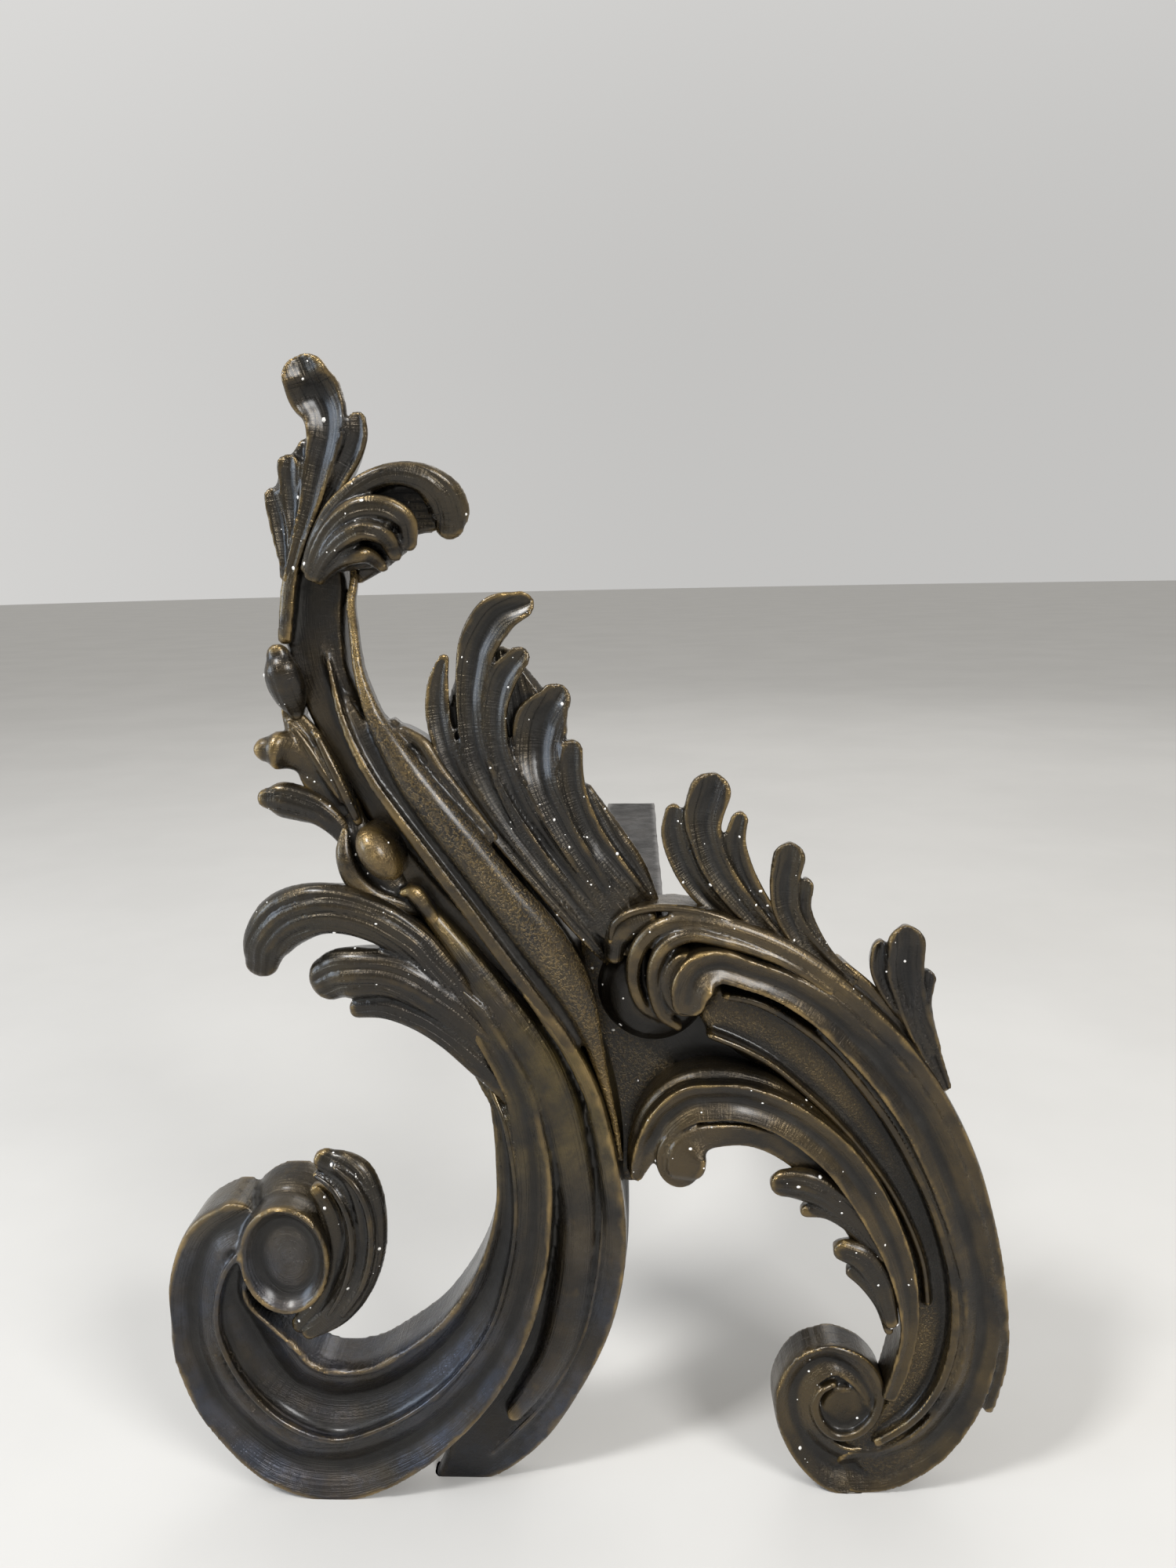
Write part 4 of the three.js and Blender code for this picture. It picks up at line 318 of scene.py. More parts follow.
CASTINGS["scroll_lower"] = [
    # Painted shade: the first band's face is darkened seven tenths of the way, as if in shadow.
    band("flat", 10, "open", (-34.4, 108.8, -15.1, 112.3, 2), (-30.4, 101.3, -11.1, 105.7, 2),
        (-26.7, 93.8, -8.2, 99, 2), (-23.1, 86.2, -5.6, 91.4, 2), (-20.3, 77.5, -3.8, 82.1, 2.5),
        (-18.9, 67.8, -2.8, 72.5, 3), (-18.6, 57.9, -2.3, 62.7, 3.5), (-19.3, 47, -2.8, 51.1, 4),
        (-21.8, 37, -4.8, 40.4, 4), (-25.9, 28.6, -8.3, 30.4, 4), (-31.6, 19.6, -14.3, 19.7, 4.5),
        (-38.2, 11.3, -23.2, 9.7, 5), (-40, 4.8, -28.4, 3.8, 5.6), (-41.8, 0.5, -32.4, -0.1, 6),
        soot=0.7),
    rib("edge", 10, "open", (-19.4, 106.2, 1.1, -4.4), (-16, 100.9, 1.2, -4.2),
        (-12.6, 95.5, 1.4, -3.8), (-10, 89.9, 1.5, -3.3), (-8, 83.9, 1.5, -2.8),
        (-6.1, 73.6, 1.7, -2), (-5, 63.8, 1.9, -1), (-4.9, 53.7, 2, 0), (-6.6, 43.3, 2.2, 1),
        (-9.5, 34, 2.4, 2), (-14.1, 24.3, 2.6, 3), (-19.9, 14.7, 2.9, 4), (-25.1, 8.8, 3.2, 4.8),
        (-30.3, 4.7, 3.4, 5.4), (-34.8, 2.4, 3.1, 6), (-38.4, 0.9, 2.2, 6.4)),
    rib("round", 11, "tip", (-25, 18, 1.8, 2), (-21.4, 23.1, 2.6, 1.7), (-17.6, 29.8, 3.1, 1.3),
        (-14.9, 37.4, 3.6, 0.9), (-12.8, 48.9, 3.8, 0.3), (-12, 60.4, 3.9, -0.6),
        (-12.7, 68.6, 4.3, -1.3), (-13.9, 76.7, 4.7, -2), (-15.6, 84.5, 4.9, -2.5),
        (-18.3, 92.2, 4.5, -2.9), (-22.3, 99.3, 3.7, -3.1), (-27.1, 106.6, 2.9, -3.1),
        (-31.7, 113.5, 2.2, -2.9), (-36, 119.3, 1.5, -2.2), (-40.1, 124.4, 0.8, -1)),
    rib("line", 11, "open", (-9.1, 82.2, 0.4, -1), (-7.6, 72.5, 0.4, 0), (-7.1, 62.7, 0.4, 0.8),
        (-7.8, 52.8, 0.4, 1.4), (-9.3, 43.4, 0.4, 2), (-11.2, 35.7, 0.4, 2.4),
        (-14.6, 28, 0.5, 2.8), (-20, 19, 0.5, 3.4), (-25.8, 11.9, 0.5, 4.2), (-30.4, 7, 0.5, 4.8)),
    rib("cove", 9, "open", (-35, 109.7, 0.8, -2.5), (-31.7, 105.7, 1.5, -3.6),
        (-28.7, 101.5, 2.1, -4), (-26, 96.5, 2.5, -4), (-23.6, 91.7, 2.6, -3.8),
        (-21.5, 86.5, 2.8, -3.6), (-20.3, 80.5, 2.8, -3.5), (-19.4, 71.4, 3.3, -3.5),
        (-19.7, 62.1, 3.4, -3.5), (-21.3, 50.8, 3.6, -3), (-24.8, 39.5, 3.9, -3),
        (-30.9, 28.4, 4.6, -2.5), (-39.1, 18.7, 5.1, -2), (-48.9, 11.2, 6.2, -1.3),
        (-59.7, 6.9, 6.9, -0.6), (-70.5, 9.7, 6.2, -1), (-80.3, 20.3, 5.1, -1.5),
        (-84.7, 31.8, 4.6, -2), (-85.3, 40.1, 4.3, -2), (-84.4, 48.4, 4.6, -2.2),
        (-80.9, 56.9, 4.5, -2.5), (-75.5, 60.8, 4.1, -2)),
    band("cove", 9, "open", (-31, 91.7, -28.7, 93.4, -0.5), (-28.7, 86.7, -26, 88.3, -1),
        (-27, 82.5, -24.2, 83.3, -1.5), (-26.4, 70.6, -23.1, 70.6, -2.2),
        (-27, 62.9, -23.1, 62.1, -2.2), (-29.5, 54.1, -24.5, 51.7, -2),
        (-33.5, 46.5, -27.8, 41.2, -2), (-38.6, 39.9, -33.8, 31.7, -1.8),
        (-45.2, 34.7, -40.8, 22.7, -1.5), (-52.1, 30.7, -49.9, 16.2, -1.3),
        (-59, 29.9, -61.1, 12.9, -1), (-63, 31.5, -71.1, 16.6, -1), (-64.8, 33.8, -77.4, 24.4, -1),
        (-66.9, 35.8, -80.2, 34.1, -1), (-70.4, 39.3, -80.5, 42, -1.2),
        (-74, 43.4, -79.2, 47.9, -1.5), (-74.8, 50.7, -75.8, 53.8, -2)),
    rib("line", 9, "open", (-28.1, 89.3, 0.3, -0.5), (-25.9, 85.4, 0.4, -2.4),
        (-24.1, 80.6, 0.4, -3.8), (-22.9, 71.6, 0.4, -4), (-22.9, 62.4, 0.4, -4),
        (-24.4, 53, 0.4, -4), (-27.9, 41.4, 0.4, -3.5), (-33.6, 32.2, 0.4, -3.2),
        (-40.9, 24.4, 0.4, -2.8), (-49.5, 18.7, 0.4, -2.5), (-59.6, 15.3, 0.6, -2.2),
        (-68.9, 19, 0.6, -2.2), (-75.9, 26.7, 0.6, -2.2), (-79.8, 36.3, 0.6, -2.5),
        (-80, 43.9, 0.6, -2.8), (-77.9, 50.9, 0.6, -3), (-74.5, 55.5, 0.6, -3.2)),
    boss("dome", 9, -65.8, 53.4, 11.1, 14.6, -1.6),
    boss("bowl", 9, -66.3, 53.9, 8.7, 11.3, -3.5),
]
CASTINGS["c_scroll"] = [
    rib("flat", 10, "open", (15.6, 103.2, 7.3, 3), (22.6, 99.1, 9.3, 3), (29, 95.4, 9.6, 3),
        (35.4, 90.1, 10.2, 3), (41.9, 83.2, 10.6, 3), (47.8, 74, 10.9, 3), (53.1, 63.1, 10.4, 3),
        (56.7, 51.9, 10.2, 3), (58.9, 40.6, 9.7, 3), (58.5, 29.9, 8.9, 3), (55.1, 20.7, 8.4, 3),
        (49.4, 13, 7.5, 3), (42.9, 7.8, 6.4, 3.5), pits=0.5),
    rib("cove", 9.5, "open", (8.5, 104.9, 2.9, -7.4), (9.1, 107.9, 3.7, -8),
        (10.9, 110.5, 3.7, -7.4), (14.4, 111.2, 3.1, -6.4), (18.6, 109.7, 2.8, -5.7),
        (25, 107, 2.8, -5), (31.9, 102.5, 3.1, -4.5), (38.1, 96.5, 3.4, -4),
        (44.5, 89.2, 3.7, -3.5), (50.4, 80.1, 3.7, -3), (55.3, 69.3, 3.6, -2.5), (59, 59, 3.5, -2),
        (61.6, 48.5, 3.4, -1.5), (62.7, 38.6, 3.5, -1), (61.8, 29.6, 3.6, -1),
        (59.1, 20.4, 4, 0.2), (53.8, 12, 4.5, 1.2), (46.7, 6.6, 5, 2.2), (40.8, 5.6, 5, 2.5)),
    rib("edge", 8, "open", (12.4, 114.9, 0.9, -3), (19.8, 114.1, 1.2, -3.5),
        (27.1, 110.9, 1.8, -4), (34.6, 105.4, 2.2, -4), (41.9, 98.3, 2.6, -3.5),
        (48.2, 90.2, 2.9, -3), (53.6, 81.3, 2.9, -2.5), (58.1, 71.7, 2.7, -2),
        (61.8, 61.8, 2, -1.5), (64.6, 51.7, 1.4, -1.5), (66.5, 41, 1, -1), (67.1, 31, 0.9, 0),
        (65.2, 20.7, 1, 1)),
    rib("flat", 6, "open", (35.9, 109.1, 1.2, -0.8), (39.2, 105.6, 1.8, -0.8),
        (42.6, 101.5, 2.1, -0.8), (46.3, 96.7, 1.9, -0.8), (50, 90.9, 1.4, -0.8)),
    rib("line", 9, "open", (15.2, 104.5, 0.7, -2), (20.7, 103.3, 0.8, -2), (26.9, 99.7, 0.8, -1.5),
        (33.2, 94.7, 0.8, -1.5), (38.8, 88.3, 1, -1.5), (44.3, 80.6, 1, -1), (49.4, 71.5, 1, -1),
        (53.5, 62.3, 1, -1), (56.5, 52.6, 1, -0.5), (58, 43, 1, -0.5), (57.7, 34.1, 1, -0.5),
        (55.4, 25.5, 0.9, 0), (50.9, 18.4, 0.9, 0.5), (44.5, 13.2, 0.9, 1)),
    rib("line", 9, "open", (12.5, 96.4, 0.6, 0), (18.1, 94, 0.6, 0), (23.8, 90.5, 0.6, 0.5),
        (29.4, 85.6, 0.6, 0.5), (35.1, 79.9, 0.6, 0.5), (40.3, 73.5, 0.6, 1), (45.4, 66.1, 0.6, 1),
        (49.3, 58.4, 0.6, 1.5), (52.1, 50.5, 0.6, 1.5), (53.2, 42.4, 0.6, 1.5)),
]
CASTINGS["web_plate"] = [
    # Painted shade: the ground is darkened a little, and the recess floor behind the head fully, as
    # if in deep shadow.
    rib("flat", 9.5, "open", (-6.9, 112, 3.4, 4.8), (-6, 104.5, 5.1, 5), (-4.3, 96.1, 7.2, 5.2),
        (-1.4, 88.4, 8.4, 5.4), (-0.6, 80.8, 7.6, 5), (-1.6, 74.1, 6.1, 4.4),
        (-2.3, 68.3, 3.2, 3.8), pits=0.6, soot=0.35),
    rib("flat", 9.5, "open", (-3.3, 111.6, 4.3, 5.5), (3.7, 106.5, 10.5, 5.5),
        (7.9, 99, 10.9, 5.5), (12.9, 92.1, 6.9, 5.5), (19.4, 87.3, 4.3, 5.5),
        (26.6, 82.7, 3.8, 5.5), (33.9, 76.5, 3.5, 5.5), (40.9, 68.6, 2.9, 5.5),
        (46.1, 59.2, 2.5, 5.5), (49, 49.5, 1.9, 5.5), soot=1.0),
    rib("round", 8, "tip", (-4.1, 112.1, 1.9, -1.2), (-3.5, 115.5, 2.7, -2.8),
        (-1.5, 117.7, 3, -3), (1.5, 118.8, 2.4, -2.6)),
]
# Castings that are hollow behind, as large castings are; the first strand carries the hollow.
HOLLOW = ("scroll_upper", "scroll_lower", "c_scroll")
# How much coarser than the others a casting's mesh is.
LARGE = {"scroll_lower": 1.4, "scroll_upper": 1.2, "c_scroll": 1.2, "side_leaf": 1.1}
# Castings whose slot isn't bronze_dark.
CAST_SLOTS = dict.fromkeys(("berry", "scroll_head", "foot_volute"), "bronze_rubbed")


# ---------------------------------------------------------------- sections and turnings
def smooth_points(points):
    """Turns a few points across a moulding into a smooth drop function of -1..1."""
    xs, ys = np.array(points, float).T

    def drop(across):
        index = np.clip(np.searchsorted(xs, across) - 1, 0, len(xs) - 2)
        share = (across - xs[index]) / (xs[index + 1] - xs[index])
        share = share * share * (3 - 2 * share)
        return ys[index] + (ys[index + 1] - ys[index]) * share
    return drop


def arch(rise):
    """A half-round section of that rise."""
    return lambda across: rise * (1 - np.sqrt(np.clip(1 - (0.99 * across) ** 2, 0, 1)))


def lobes(count):
    """Convex ribs side by side with cut grooves between them, over one shallow arch."""
    groove = 0.2 * (0.8 / count + 0.55)

    def drop(across):
        over = 0.62 * (1 - np.sqrt(np.clip(1 - 0.9 * across ** 2, 0, 1)))
        phase = (across + 1) * 0.5 * count
        local = 2 * (phase - np.floor(np.clip(phase, 0, count - 1e-6))) - 1
        return over + groove * np.abs(local) ** 3
    return drop


SECTIONS = {
    "flat": smooth_points([(-1, 0.22), (-0.86, 0), (0.86, 0), (1, 0.22)]),
    "round": arch(0.85),
    "cove": smooth_points([
        (-1, 0.36), (-0.9, 0.0), (-0.76, 0.12), (0, 0.44), (0.76, 0.12), (0.9, 0.0), (1, 0.36),
    ]),
    "line": arch(0.8),
    "edge": smooth_points([(-1, 0.5), (-0.3, 0.16), (0.6, 0.1), (0.84, 0.0), (1, 0.34)]),
    "ribs2": lobes(2),
    "ribs3": lobes(3),
    "ribs4": lobes(4),
}
# Turnings run from the rim in: share of the radius, and how far below the crest.
TURNINGS = {
    "dome": [(1, 0.85), (0.97, 0.6), (0.88, 0.34), (0.72, 0.16), (0.5, 0.06), (0.25, 0.01), (0, 0)],
    "egg": [(1, 1), (0.98, 0.8), (0.93, 0.63), (0.85, 0.47), (0.72, 0.31), (0.55, 0.165),
            (0.35, 0.063), (0.15, 0.011), (0, 0)],
    "bowl": [(1, 0.3), (0.97, 0.06), (0.92, 0), (0.86, 0.06), (0.74, 0.2), (0.5, 0.34),
             (0.25, 0.4), (0, 0.42)],
    "drum": [(1, 0.4), (0.98, 0.14), (0.93, 0.02), (0.86, 0), (0.5, 0), (0, 0)],
}
ACROSS = 29               # points across a moulding
RING_STEP = 0.8           # mm between its rings
TURNED_SIDES = 72         # points round a boss
POLE_SHARE = 0.002        # radius of the hole left at a boss's pole, which one face closes
LEAST_DEPTH = 0.6         # mm between a strand's face and its back
THIN_BACK = 7.5           # strands no deeper than this are drawn in behind, in mm
DRAWN_IN = 0.3            # how far their backs are drawn in, as a share of the width
LEAF_WALL = 1.6           # how thick a leaf is at its tip, behind its edge, in mm
ROOT_SHARE = 0.75         # where along it a leaf has its full depth
TIP_RINGS = 8             # rings that close an end
TIP_ANGLES = (0.48 * math.pi, 0.14)   # from the foremost of them to the last
LONGEST_END = 3.4         # mm that an end runs on at most
LEAF_END = (1.0, 0.35)    # how far a leaf's tip runs on and falls away, in half widths
PLAIN_END = (0.8, 0.5)    # the same for any other end
LEAST_FORWARD = 0.02      # mm that an edge gains from ring to ring in a tight curl


# ---------------------------------------------------------------- strands into closed meshes
def sample_rows(rows, step):
    """A smooth curve through rows of numbers, as dense as step asks."""
    rows = np.asarray(rows, float)
    padded = np.vstack((rows[:1], rows, rows[-1:]))
    out = []
    for i in range(len(rows) - 1):
        a, b, c, d = padded[i:i + 4]
        count = max(2, int(math.ceil(np.hypot(*(c - b)[:2]) / step)))
        t = np.linspace(0, 1, count, endpoint=False)[:, None]
        out.append(0.5 * (2 * b + (c - a) * t + (2 * a - 5 * b + 4 * c - d) * t ** 2
                          + (3 * b - a - 3 * c + d) * t ** 3))
    out.append(rows[-1:])
    return np.vstack(out)


def strand_edges(strand, step):
    """Left and right edge points and crest of each ring of a rib or band."""
    line = sample_rows(strand["rows"], step)
    if strand["kind"] == "band":
        return line[:, 0:2], line[:, 2:4], line[:, 4]
    run = np.gradient(line[:, :2], axis=0)
    run /= np.linalg.norm(run, axis=1)[:, None] + 1e-9
    side = np.stack((run[:, 1], -run[:, 0]), 1) * line[:, 2:3]
    return line[:, :2] + side, line[:, :2] - side, line[:, 3]


def rounded_end(left, right, crest, reach, sink):
    """Adds rings before the first one, which close the strand in a round that falls away."""
    middle, half = 0.5 * (left[0] + right[0]), 0.5 * (right[0] - left[0])
    ahead = middle - 0.5 * (left[1] + right[1])
    ahead /= np.linalg.norm(ahead) + 1e-9
    width = np.linalg.norm(half)
    angles = np.linspace(*TIP_ANGLES, TIP_RINGS)
    centre = middle + np.outer(np.sin(angles) * min(width * reach, LONGEST_END), ahead)
    spread = np.outer(np.cos(angles), half)
    fall = sink * width * (1 - np.cos(angles))
    return (np.vstack((centre - spread, left)), np.vstack((centre + spread, right)),
            np.concatenate((crest[0] + fall, crest)))


def rounded_ends(strand, left, right, crest):
    """A leaf tip is a full round; any other end is shorter and dives into what it meets."""
    first = LEAF_END if strand["ends"] == "tip" else PLAIN_END
    left, right, crest = rounded_end(left, right, crest, *first)
    flipped = rounded_end(left[::-1], right[::-1], crest[::-1], *PLAIN_END)
    return tuple(values[::-1] for values in flipped)


def keep_forward(left, right):
    """Holds the inner edge of a tight curl in order, where its points would run backwards."""
    left, right = left.copy(), right.copy()
    for i in range(1, len(left)):
        ahead = right[i - 1] - left[i - 1]
        ahead = np.array((-ahead[1], ahead[0])) / (np.linalg.norm(ahead) + 1e-9)
        if np.dot(left[i] + right[i] - left[i - 1] - right[i - 1], ahead) < 0:
            ahead = -ahead
        for side in (left, right):
            short = LEAST_FORWARD - np.dot(side[i] - side[i - 1], ahead)
            if short > 0:
                side[i] += ahead * short
    return left, right


def rear_corners(strand, left, right, crest, depth, drawn):
    """The two back corners of each ring: drawn in where thin, and near the face at a leaf's tip."""
    back = strand["back"]
    pull = (right - left) * (DRAWN_IN if drawn and back <= THIN_BACK else 0.0)
    rear_depth = np.full(len(left), float(back))
    if strand["ends"] == "tip":
        grown = np.clip(np.linspace(0, 1, len(left)) / ROOT_SHARE, 0, 1)
        rear_depth = np.minimum(rear_depth, depth.max(axis=1) + LEAF_WALL
                                + (back - crest) * grown * grown * (3 - 2 * grown))
    return np.stack([np.insert(edge, 1, rear_depth, axis=1)
                     for edge in (right - pull, left + pull)], 1)


def tube_faces(rings, count):
    """Faces of a closed tube of rings of count corners, with a cap at each end."""
    ring = np.arange(count)
    following = (ring + 1) % count
    start = np.arange(rings - 1)[:, None] * count
    quads = np.stack((start + ring, start + following, start + following + count,
                      start + ring + count), 2).reshape(-1, 4)
    return quads.tolist() + [list(range(count))[::-1],
                             [(rings - 1) * count + k for k in range(count)]]


def loft(strand, step, rounded=True):
    """Skins one strand; gives its corners, faces, flow (mm along, mm across) and lie
    (the directions along and across at each corner)."""
    left, right, crest = strand_edges(strand, step)
    left, right = keep_forward(left, right)
    if rounded:
        left, right, crest = rounded_ends(strand, left, right, crest)
    across = np.linspace(-1, 1, ACROSS)
    drop = SECTIONS[strand["section"]](across)
    half = 0.5 * np.linalg.norm(right - left, axis=1)
    share = 0.5 * (across + 1)
    front = left[:, None, :] + (right - left)[:, None, :] * share[None, :, None]
    depth = np.minimum(crest[:, None] + drop[None, :] * half[:, None],
                       strand["back"] - LEAST_DEPTH)
    corners = np.stack((front[..., 0], depth, front[..., 1]), 2)
    corners = np.concatenate(
        (corners, rear_corners(strand, left, right, crest, depth, rounded)), 1)
    rings, count = len(left), ACROSS + 2
    flow = np.zeros((rings, count, 2))
    flow[1:, :, 0] = np.cumsum(np.linalg.norm(
        np.diff(0.5 * (left + right), axis=0), axis=1))[:, None]
    flow[:, :ACROSS, 1] = across[None, :] * half[:, None]
    flow[:, ACROSS, 1] = half
    flow[:, ACROSS + 1, 1] = -half
    over = (right - left) / (2 * half[:, None] + 1e-9)
    lie = np.column_stack((over[:, 1], -over[:, 0], over))
    return (corners.reshape(-1, 3), tube_faces(rings, count), flow.reshape(-1, 2),
            np.repeat(lie, count, axis=0))


def turned(strand):
    """An oval turned boss as corners, faces, flow and lie."""
    x, z, long_half, tall_half, crest = strand["size"]
    mean = 0.5 * (long_half + tall_half)
    tilt = math.radians(strand["tilt"])
    angle = np.linspace(0, 2 * math.pi, TURNED_SIDES, endpoint=False)
    profile = [(1.0, strand["back"])] + [
        (share, min(crest + drop * mean, strand["back"] - LEAST_DEPTH))
        for share, drop in TURNINGS[strand["turning"]]]
    round_it = np.column_stack((-np.sin(angle), np.cos(angle), np.cos(angle), np.sin(angle)))
    corners, flow = [], []
    for share, depth in profile:
        u = long_half * max(share, POLE_SHARE) * np.cos(angle)
        v = tall_half * max(share, POLE_SHARE) * np.sin(angle)
        corners.append(np.stack((x + u * math.cos(tilt) + v * math.sin(tilt),
                                 np.full(TURNED_SIDES, depth),
                                 z - u * math.sin(tilt) + v * math.cos(tilt)), 1))
        flow.append(np.stack((angle * mean, np.full(TURNED_SIDES, share * mean)), 1))
    faces = tube_faces(len(profile), TURNED_SIDES)
    return np.vstack(corners), faces, np.vstack(flow), np.tile(round_it, (len(profile), 1))


def add_object(name, data):
    """A new object in the scene."""
    thing = bpy.data.objects.new(name, data)
    bpy.context.scene.collection.objects.link(thing)
    return thing


def mesh_object(name, corners, faces, edges=()):
    """A mesh object from corners in metres and faces or loose edges."""
    mesh = bpy.data.meshes.new(name)
    mesh.from_pydata(np.asarray(corners, float).tolist(), edges, faces)
    if faces:
        mesh.validate()
    return add_object(name, mesh)


def outward(corners, faces):
    """The faces of a closed mesh, turned round where they would point inwards."""
    fans = np.array([(f[0], f[k], f[k + 1]) for f in faces for k in range(1, len(f) - 1)])
    a, b, c = (corners[fans[:, k]] - corners.mean(0) for k in range(3))
    inside_out = float(np.einsum("ij,ij->", a, np.cross(b, c))) < 0
    return [face[::-1] for face in faces] if inside_out else faces


def strands_object(name):
    """Every strand of a casting in one object, each a closed body; with each corner's place in
    metres, flow and lie, and pits and painted shade, for later."""
    step = RING_STEP * 1
    all_corners, all_faces, all_flow, all_marks = [], [], [], []
    base = 0
    for strand in CASTINGS[name]:
        corners, faces, flow, lie = (turned(strand) if strand["kind"] == "boss"
                                     else loft(strand, step))
        all_corners.append(corners)
        all_faces += [[corner + base for corner in face] for face in outward(corners, faces)]
        all_flow.append(np.column_stack((flow, lie)))
        all_marks.append(np.tile((strand["pits"], strand["soot"]), (len(corners), 1)))
        base += len(corners)
    corners = (np.vstack(all_corners) + STRAND_ORIGIN) * MM
    thing = mesh_object(name + "_strands", corners, all_faces)
    return thing, corners, np.vstack(all_flow), np.vstack(all_marks)


# ---------------------------------------------------------------- from strands to one casting
FUSED_ROUNDS, FUSED_SHARES = 6, (0.5, -0.52)   # smooths the fused skin and keeps its volume
PROUD_ROUNDS, PROUD_GAIN = 16, 0.75            # how far round, and how strongly, edges count
SUNK_ROUNDS, SUNK_GAIN = 70, 0.32              # the same for hollows
EVEN_ROUNDS = 4                                # evens out what counts as an edge
MARK_ROUNDS = 6                                # softens the border of pits and of the painted shade
CUTTER_STEP = 3.0                              # mm between the rings of a hollow
CUTTER_BEYOND = 3                              # mm that it runs out behind
CUTTER_HALF = 0.4                              # its least half width, in mm
CUTTER_SHARE = 0.35                            # the most wall, as a share of a band's width


def applied(thing, name):
    """The object with its modifiers made real, as a new plain object."""
    graph = bpy.context.evaluated_depsgraph_get()
    mesh = bpy.data.meshes.new_from_object(thing.evaluated_get(graph))
    mesh.name = name
    done = add_object(name, mesh)
    bpy.data.objects.remove(thing, do_unlink=True)
    return done


def fused(thing, name, grain):
    """The object as one skin, whose finest form is of that grain."""
    fuse = thing.modifiers.new("fuse", "REMESH")
    fuse.mode, fuse.voxel_size = "VOXEL", grain
    return applied(thing, name)


def numbers_of(items, field, width, kind=np.float32):
    """One field of a mesh's points or edges, as rows of numbers."""
    values = np.empty(len(items) * width, kind)
    items.foreach_get(field, values)
    return values.reshape(-1, width)


def corners_of(mesh):
    """The places of a mesh's points, in metres."""
    return numbers_of(mesh.vertices, "co", 3).astype(float)


def normals_of(mesh):
    """Which way its surface faces at each point."""
    return numbers_of(mesh.vertices, "normal", 3).astype(float)


def edges_of(mesh):
    """The two points of each of its edges."""
    return numbers_of(mesh.edges, "vertices", 2, np.int32)


def move_corners(mesh, corners):
    """Puts a mesh's points in new places."""
    mesh.vertices.foreach_set("co", corners.astype(np.float32).ravel())
    mesh.update()


def relax(values, edges, rounds, shares=(0.5,)):
    """Moves each value towards the mean of its neighbours, by each share in turn."""
    count = len(values)
    a, b = edges[:, 0], edges[:, 1]
    degree = np.maximum(np.bincount(a, minlength=count) + np.bincount(b, minlength=count), 1)
    flat = values.ndim == 1
    values = values.copy().reshape(count, -1)
    for turn in range(rounds):
        mean = np.stack([
            (np.bincount(a, values[b, k], count) + np.bincount(b, values[a, k], count)) / degree
            for k in range(values.shape[1])], 1)
        values += shares[turn % len(shares)] * (mean - values)
    return values[:, 0] if flat else values


def write_attribute(mesh, name, values):
    """Keeps a number or a direction at each point of a mesh."""
    kind, field = (("FLOAT", "value") if np.ndim(values) == 1 else ("FLOAT_VECTOR", "vector"))
    layer = mesh.attributes.new(name, kind, "POINT")
    layer.data.foreach_set(field, np.asarray(values, np.float32).ravel())


def add_surface_marks(thing, source=None):
    """Writes how proud and how sunk each point lies, and the flow of the strand under it."""
    mesh = thing.data
    corners, normals, edges = corners_of(mesh), normals_of(mesh), edges_of(mesh)
    size = np.median(np.linalg.norm(corners[edges[:, 0]] - corners[edges[:, 1]], axis=1))
    stands_out = [np.einsum("ij,ij->i", corners - relax(corners, edges, rounds), normals) / size
                  for rounds in (PROUD_ROUNDS, SUNK_ROUNDS)]
    proud = 0.5 + PROUD_GAIN * relax(stands_out[0], edges, EVEN_ROUNDS)
    write_attribute(mesh, "proud", np.clip(proud, 0, 1))
    write_attribute(mesh, "sunk", np.clip(0.5 - SUNK_GAIN * stands_out[1], 0, 1))
    if source is None:
        return
    points, flow, marks = source
    tree = tree_of(points)
    nearest = np.fromiter((tree.find(corner)[1] for corner in corners), int, len(corners))
    step = (corners - points[nearest])[:, (0, 2)] / MM
    lie = flow[nearest]
    along = lie[:, 0] + np.einsum("ij,ij->i", step, lie[:, 2:4])
    across = lie[:, 1] + np.einsum("ij,ij->i", step, lie[:, 4:6])
    write_attribute(mesh, "flow", np.column_stack((along, across, np.zeros(len(corners)))))
    # Pits and painted shade come from the nearest strand point and are softened at their borders.
    marks = relax(marks[nearest], edges, MARK_ROUNDS)
    write_attribute(mesh, "pits", marks[:, 0])
    write_attribute(mesh, "soot", marks[:, 1])


def tree_of(points):
    """The points in a tree that finds the nearest one."""
    tree = KDTree(len(points))
    for place, point in enumerate(points):
        tree.insert(point, place)
    tree.balance()
    return tree


def hollow_cutter(strand, wall):
    """A channel behind a moulding, narrower and deeper than it by the wall."""
    rows = []
    for row in strand["rows"][1:-1]:
        if strand["kind"] == "rib":
            x, z, half, crest = row
            rows.append((x, z, max(half - wall, CUTTER_HALF), crest + wall))
        else:
            left, right = np.array(row[:2]), np.array(row[2:4])
            width = np.linalg.norm(right - left)
            pull = (right - left) / width * min(wall, CUTTER_SHARE * width)
            rows.append((*(left + pull), *(right - pull), row[4] + wall))
    cut = dict(strand, section="flat", back=strand["back"] + CUTTER_BEYOND, ends="open", rows=rows)
    corners, faces = loft(cut, CUTTER_STEP, rounded=False)[:2]
    return mesh_object("hollow_cut", (corners + STRAND_ORIGIN) * MM, outward(corners, faces))


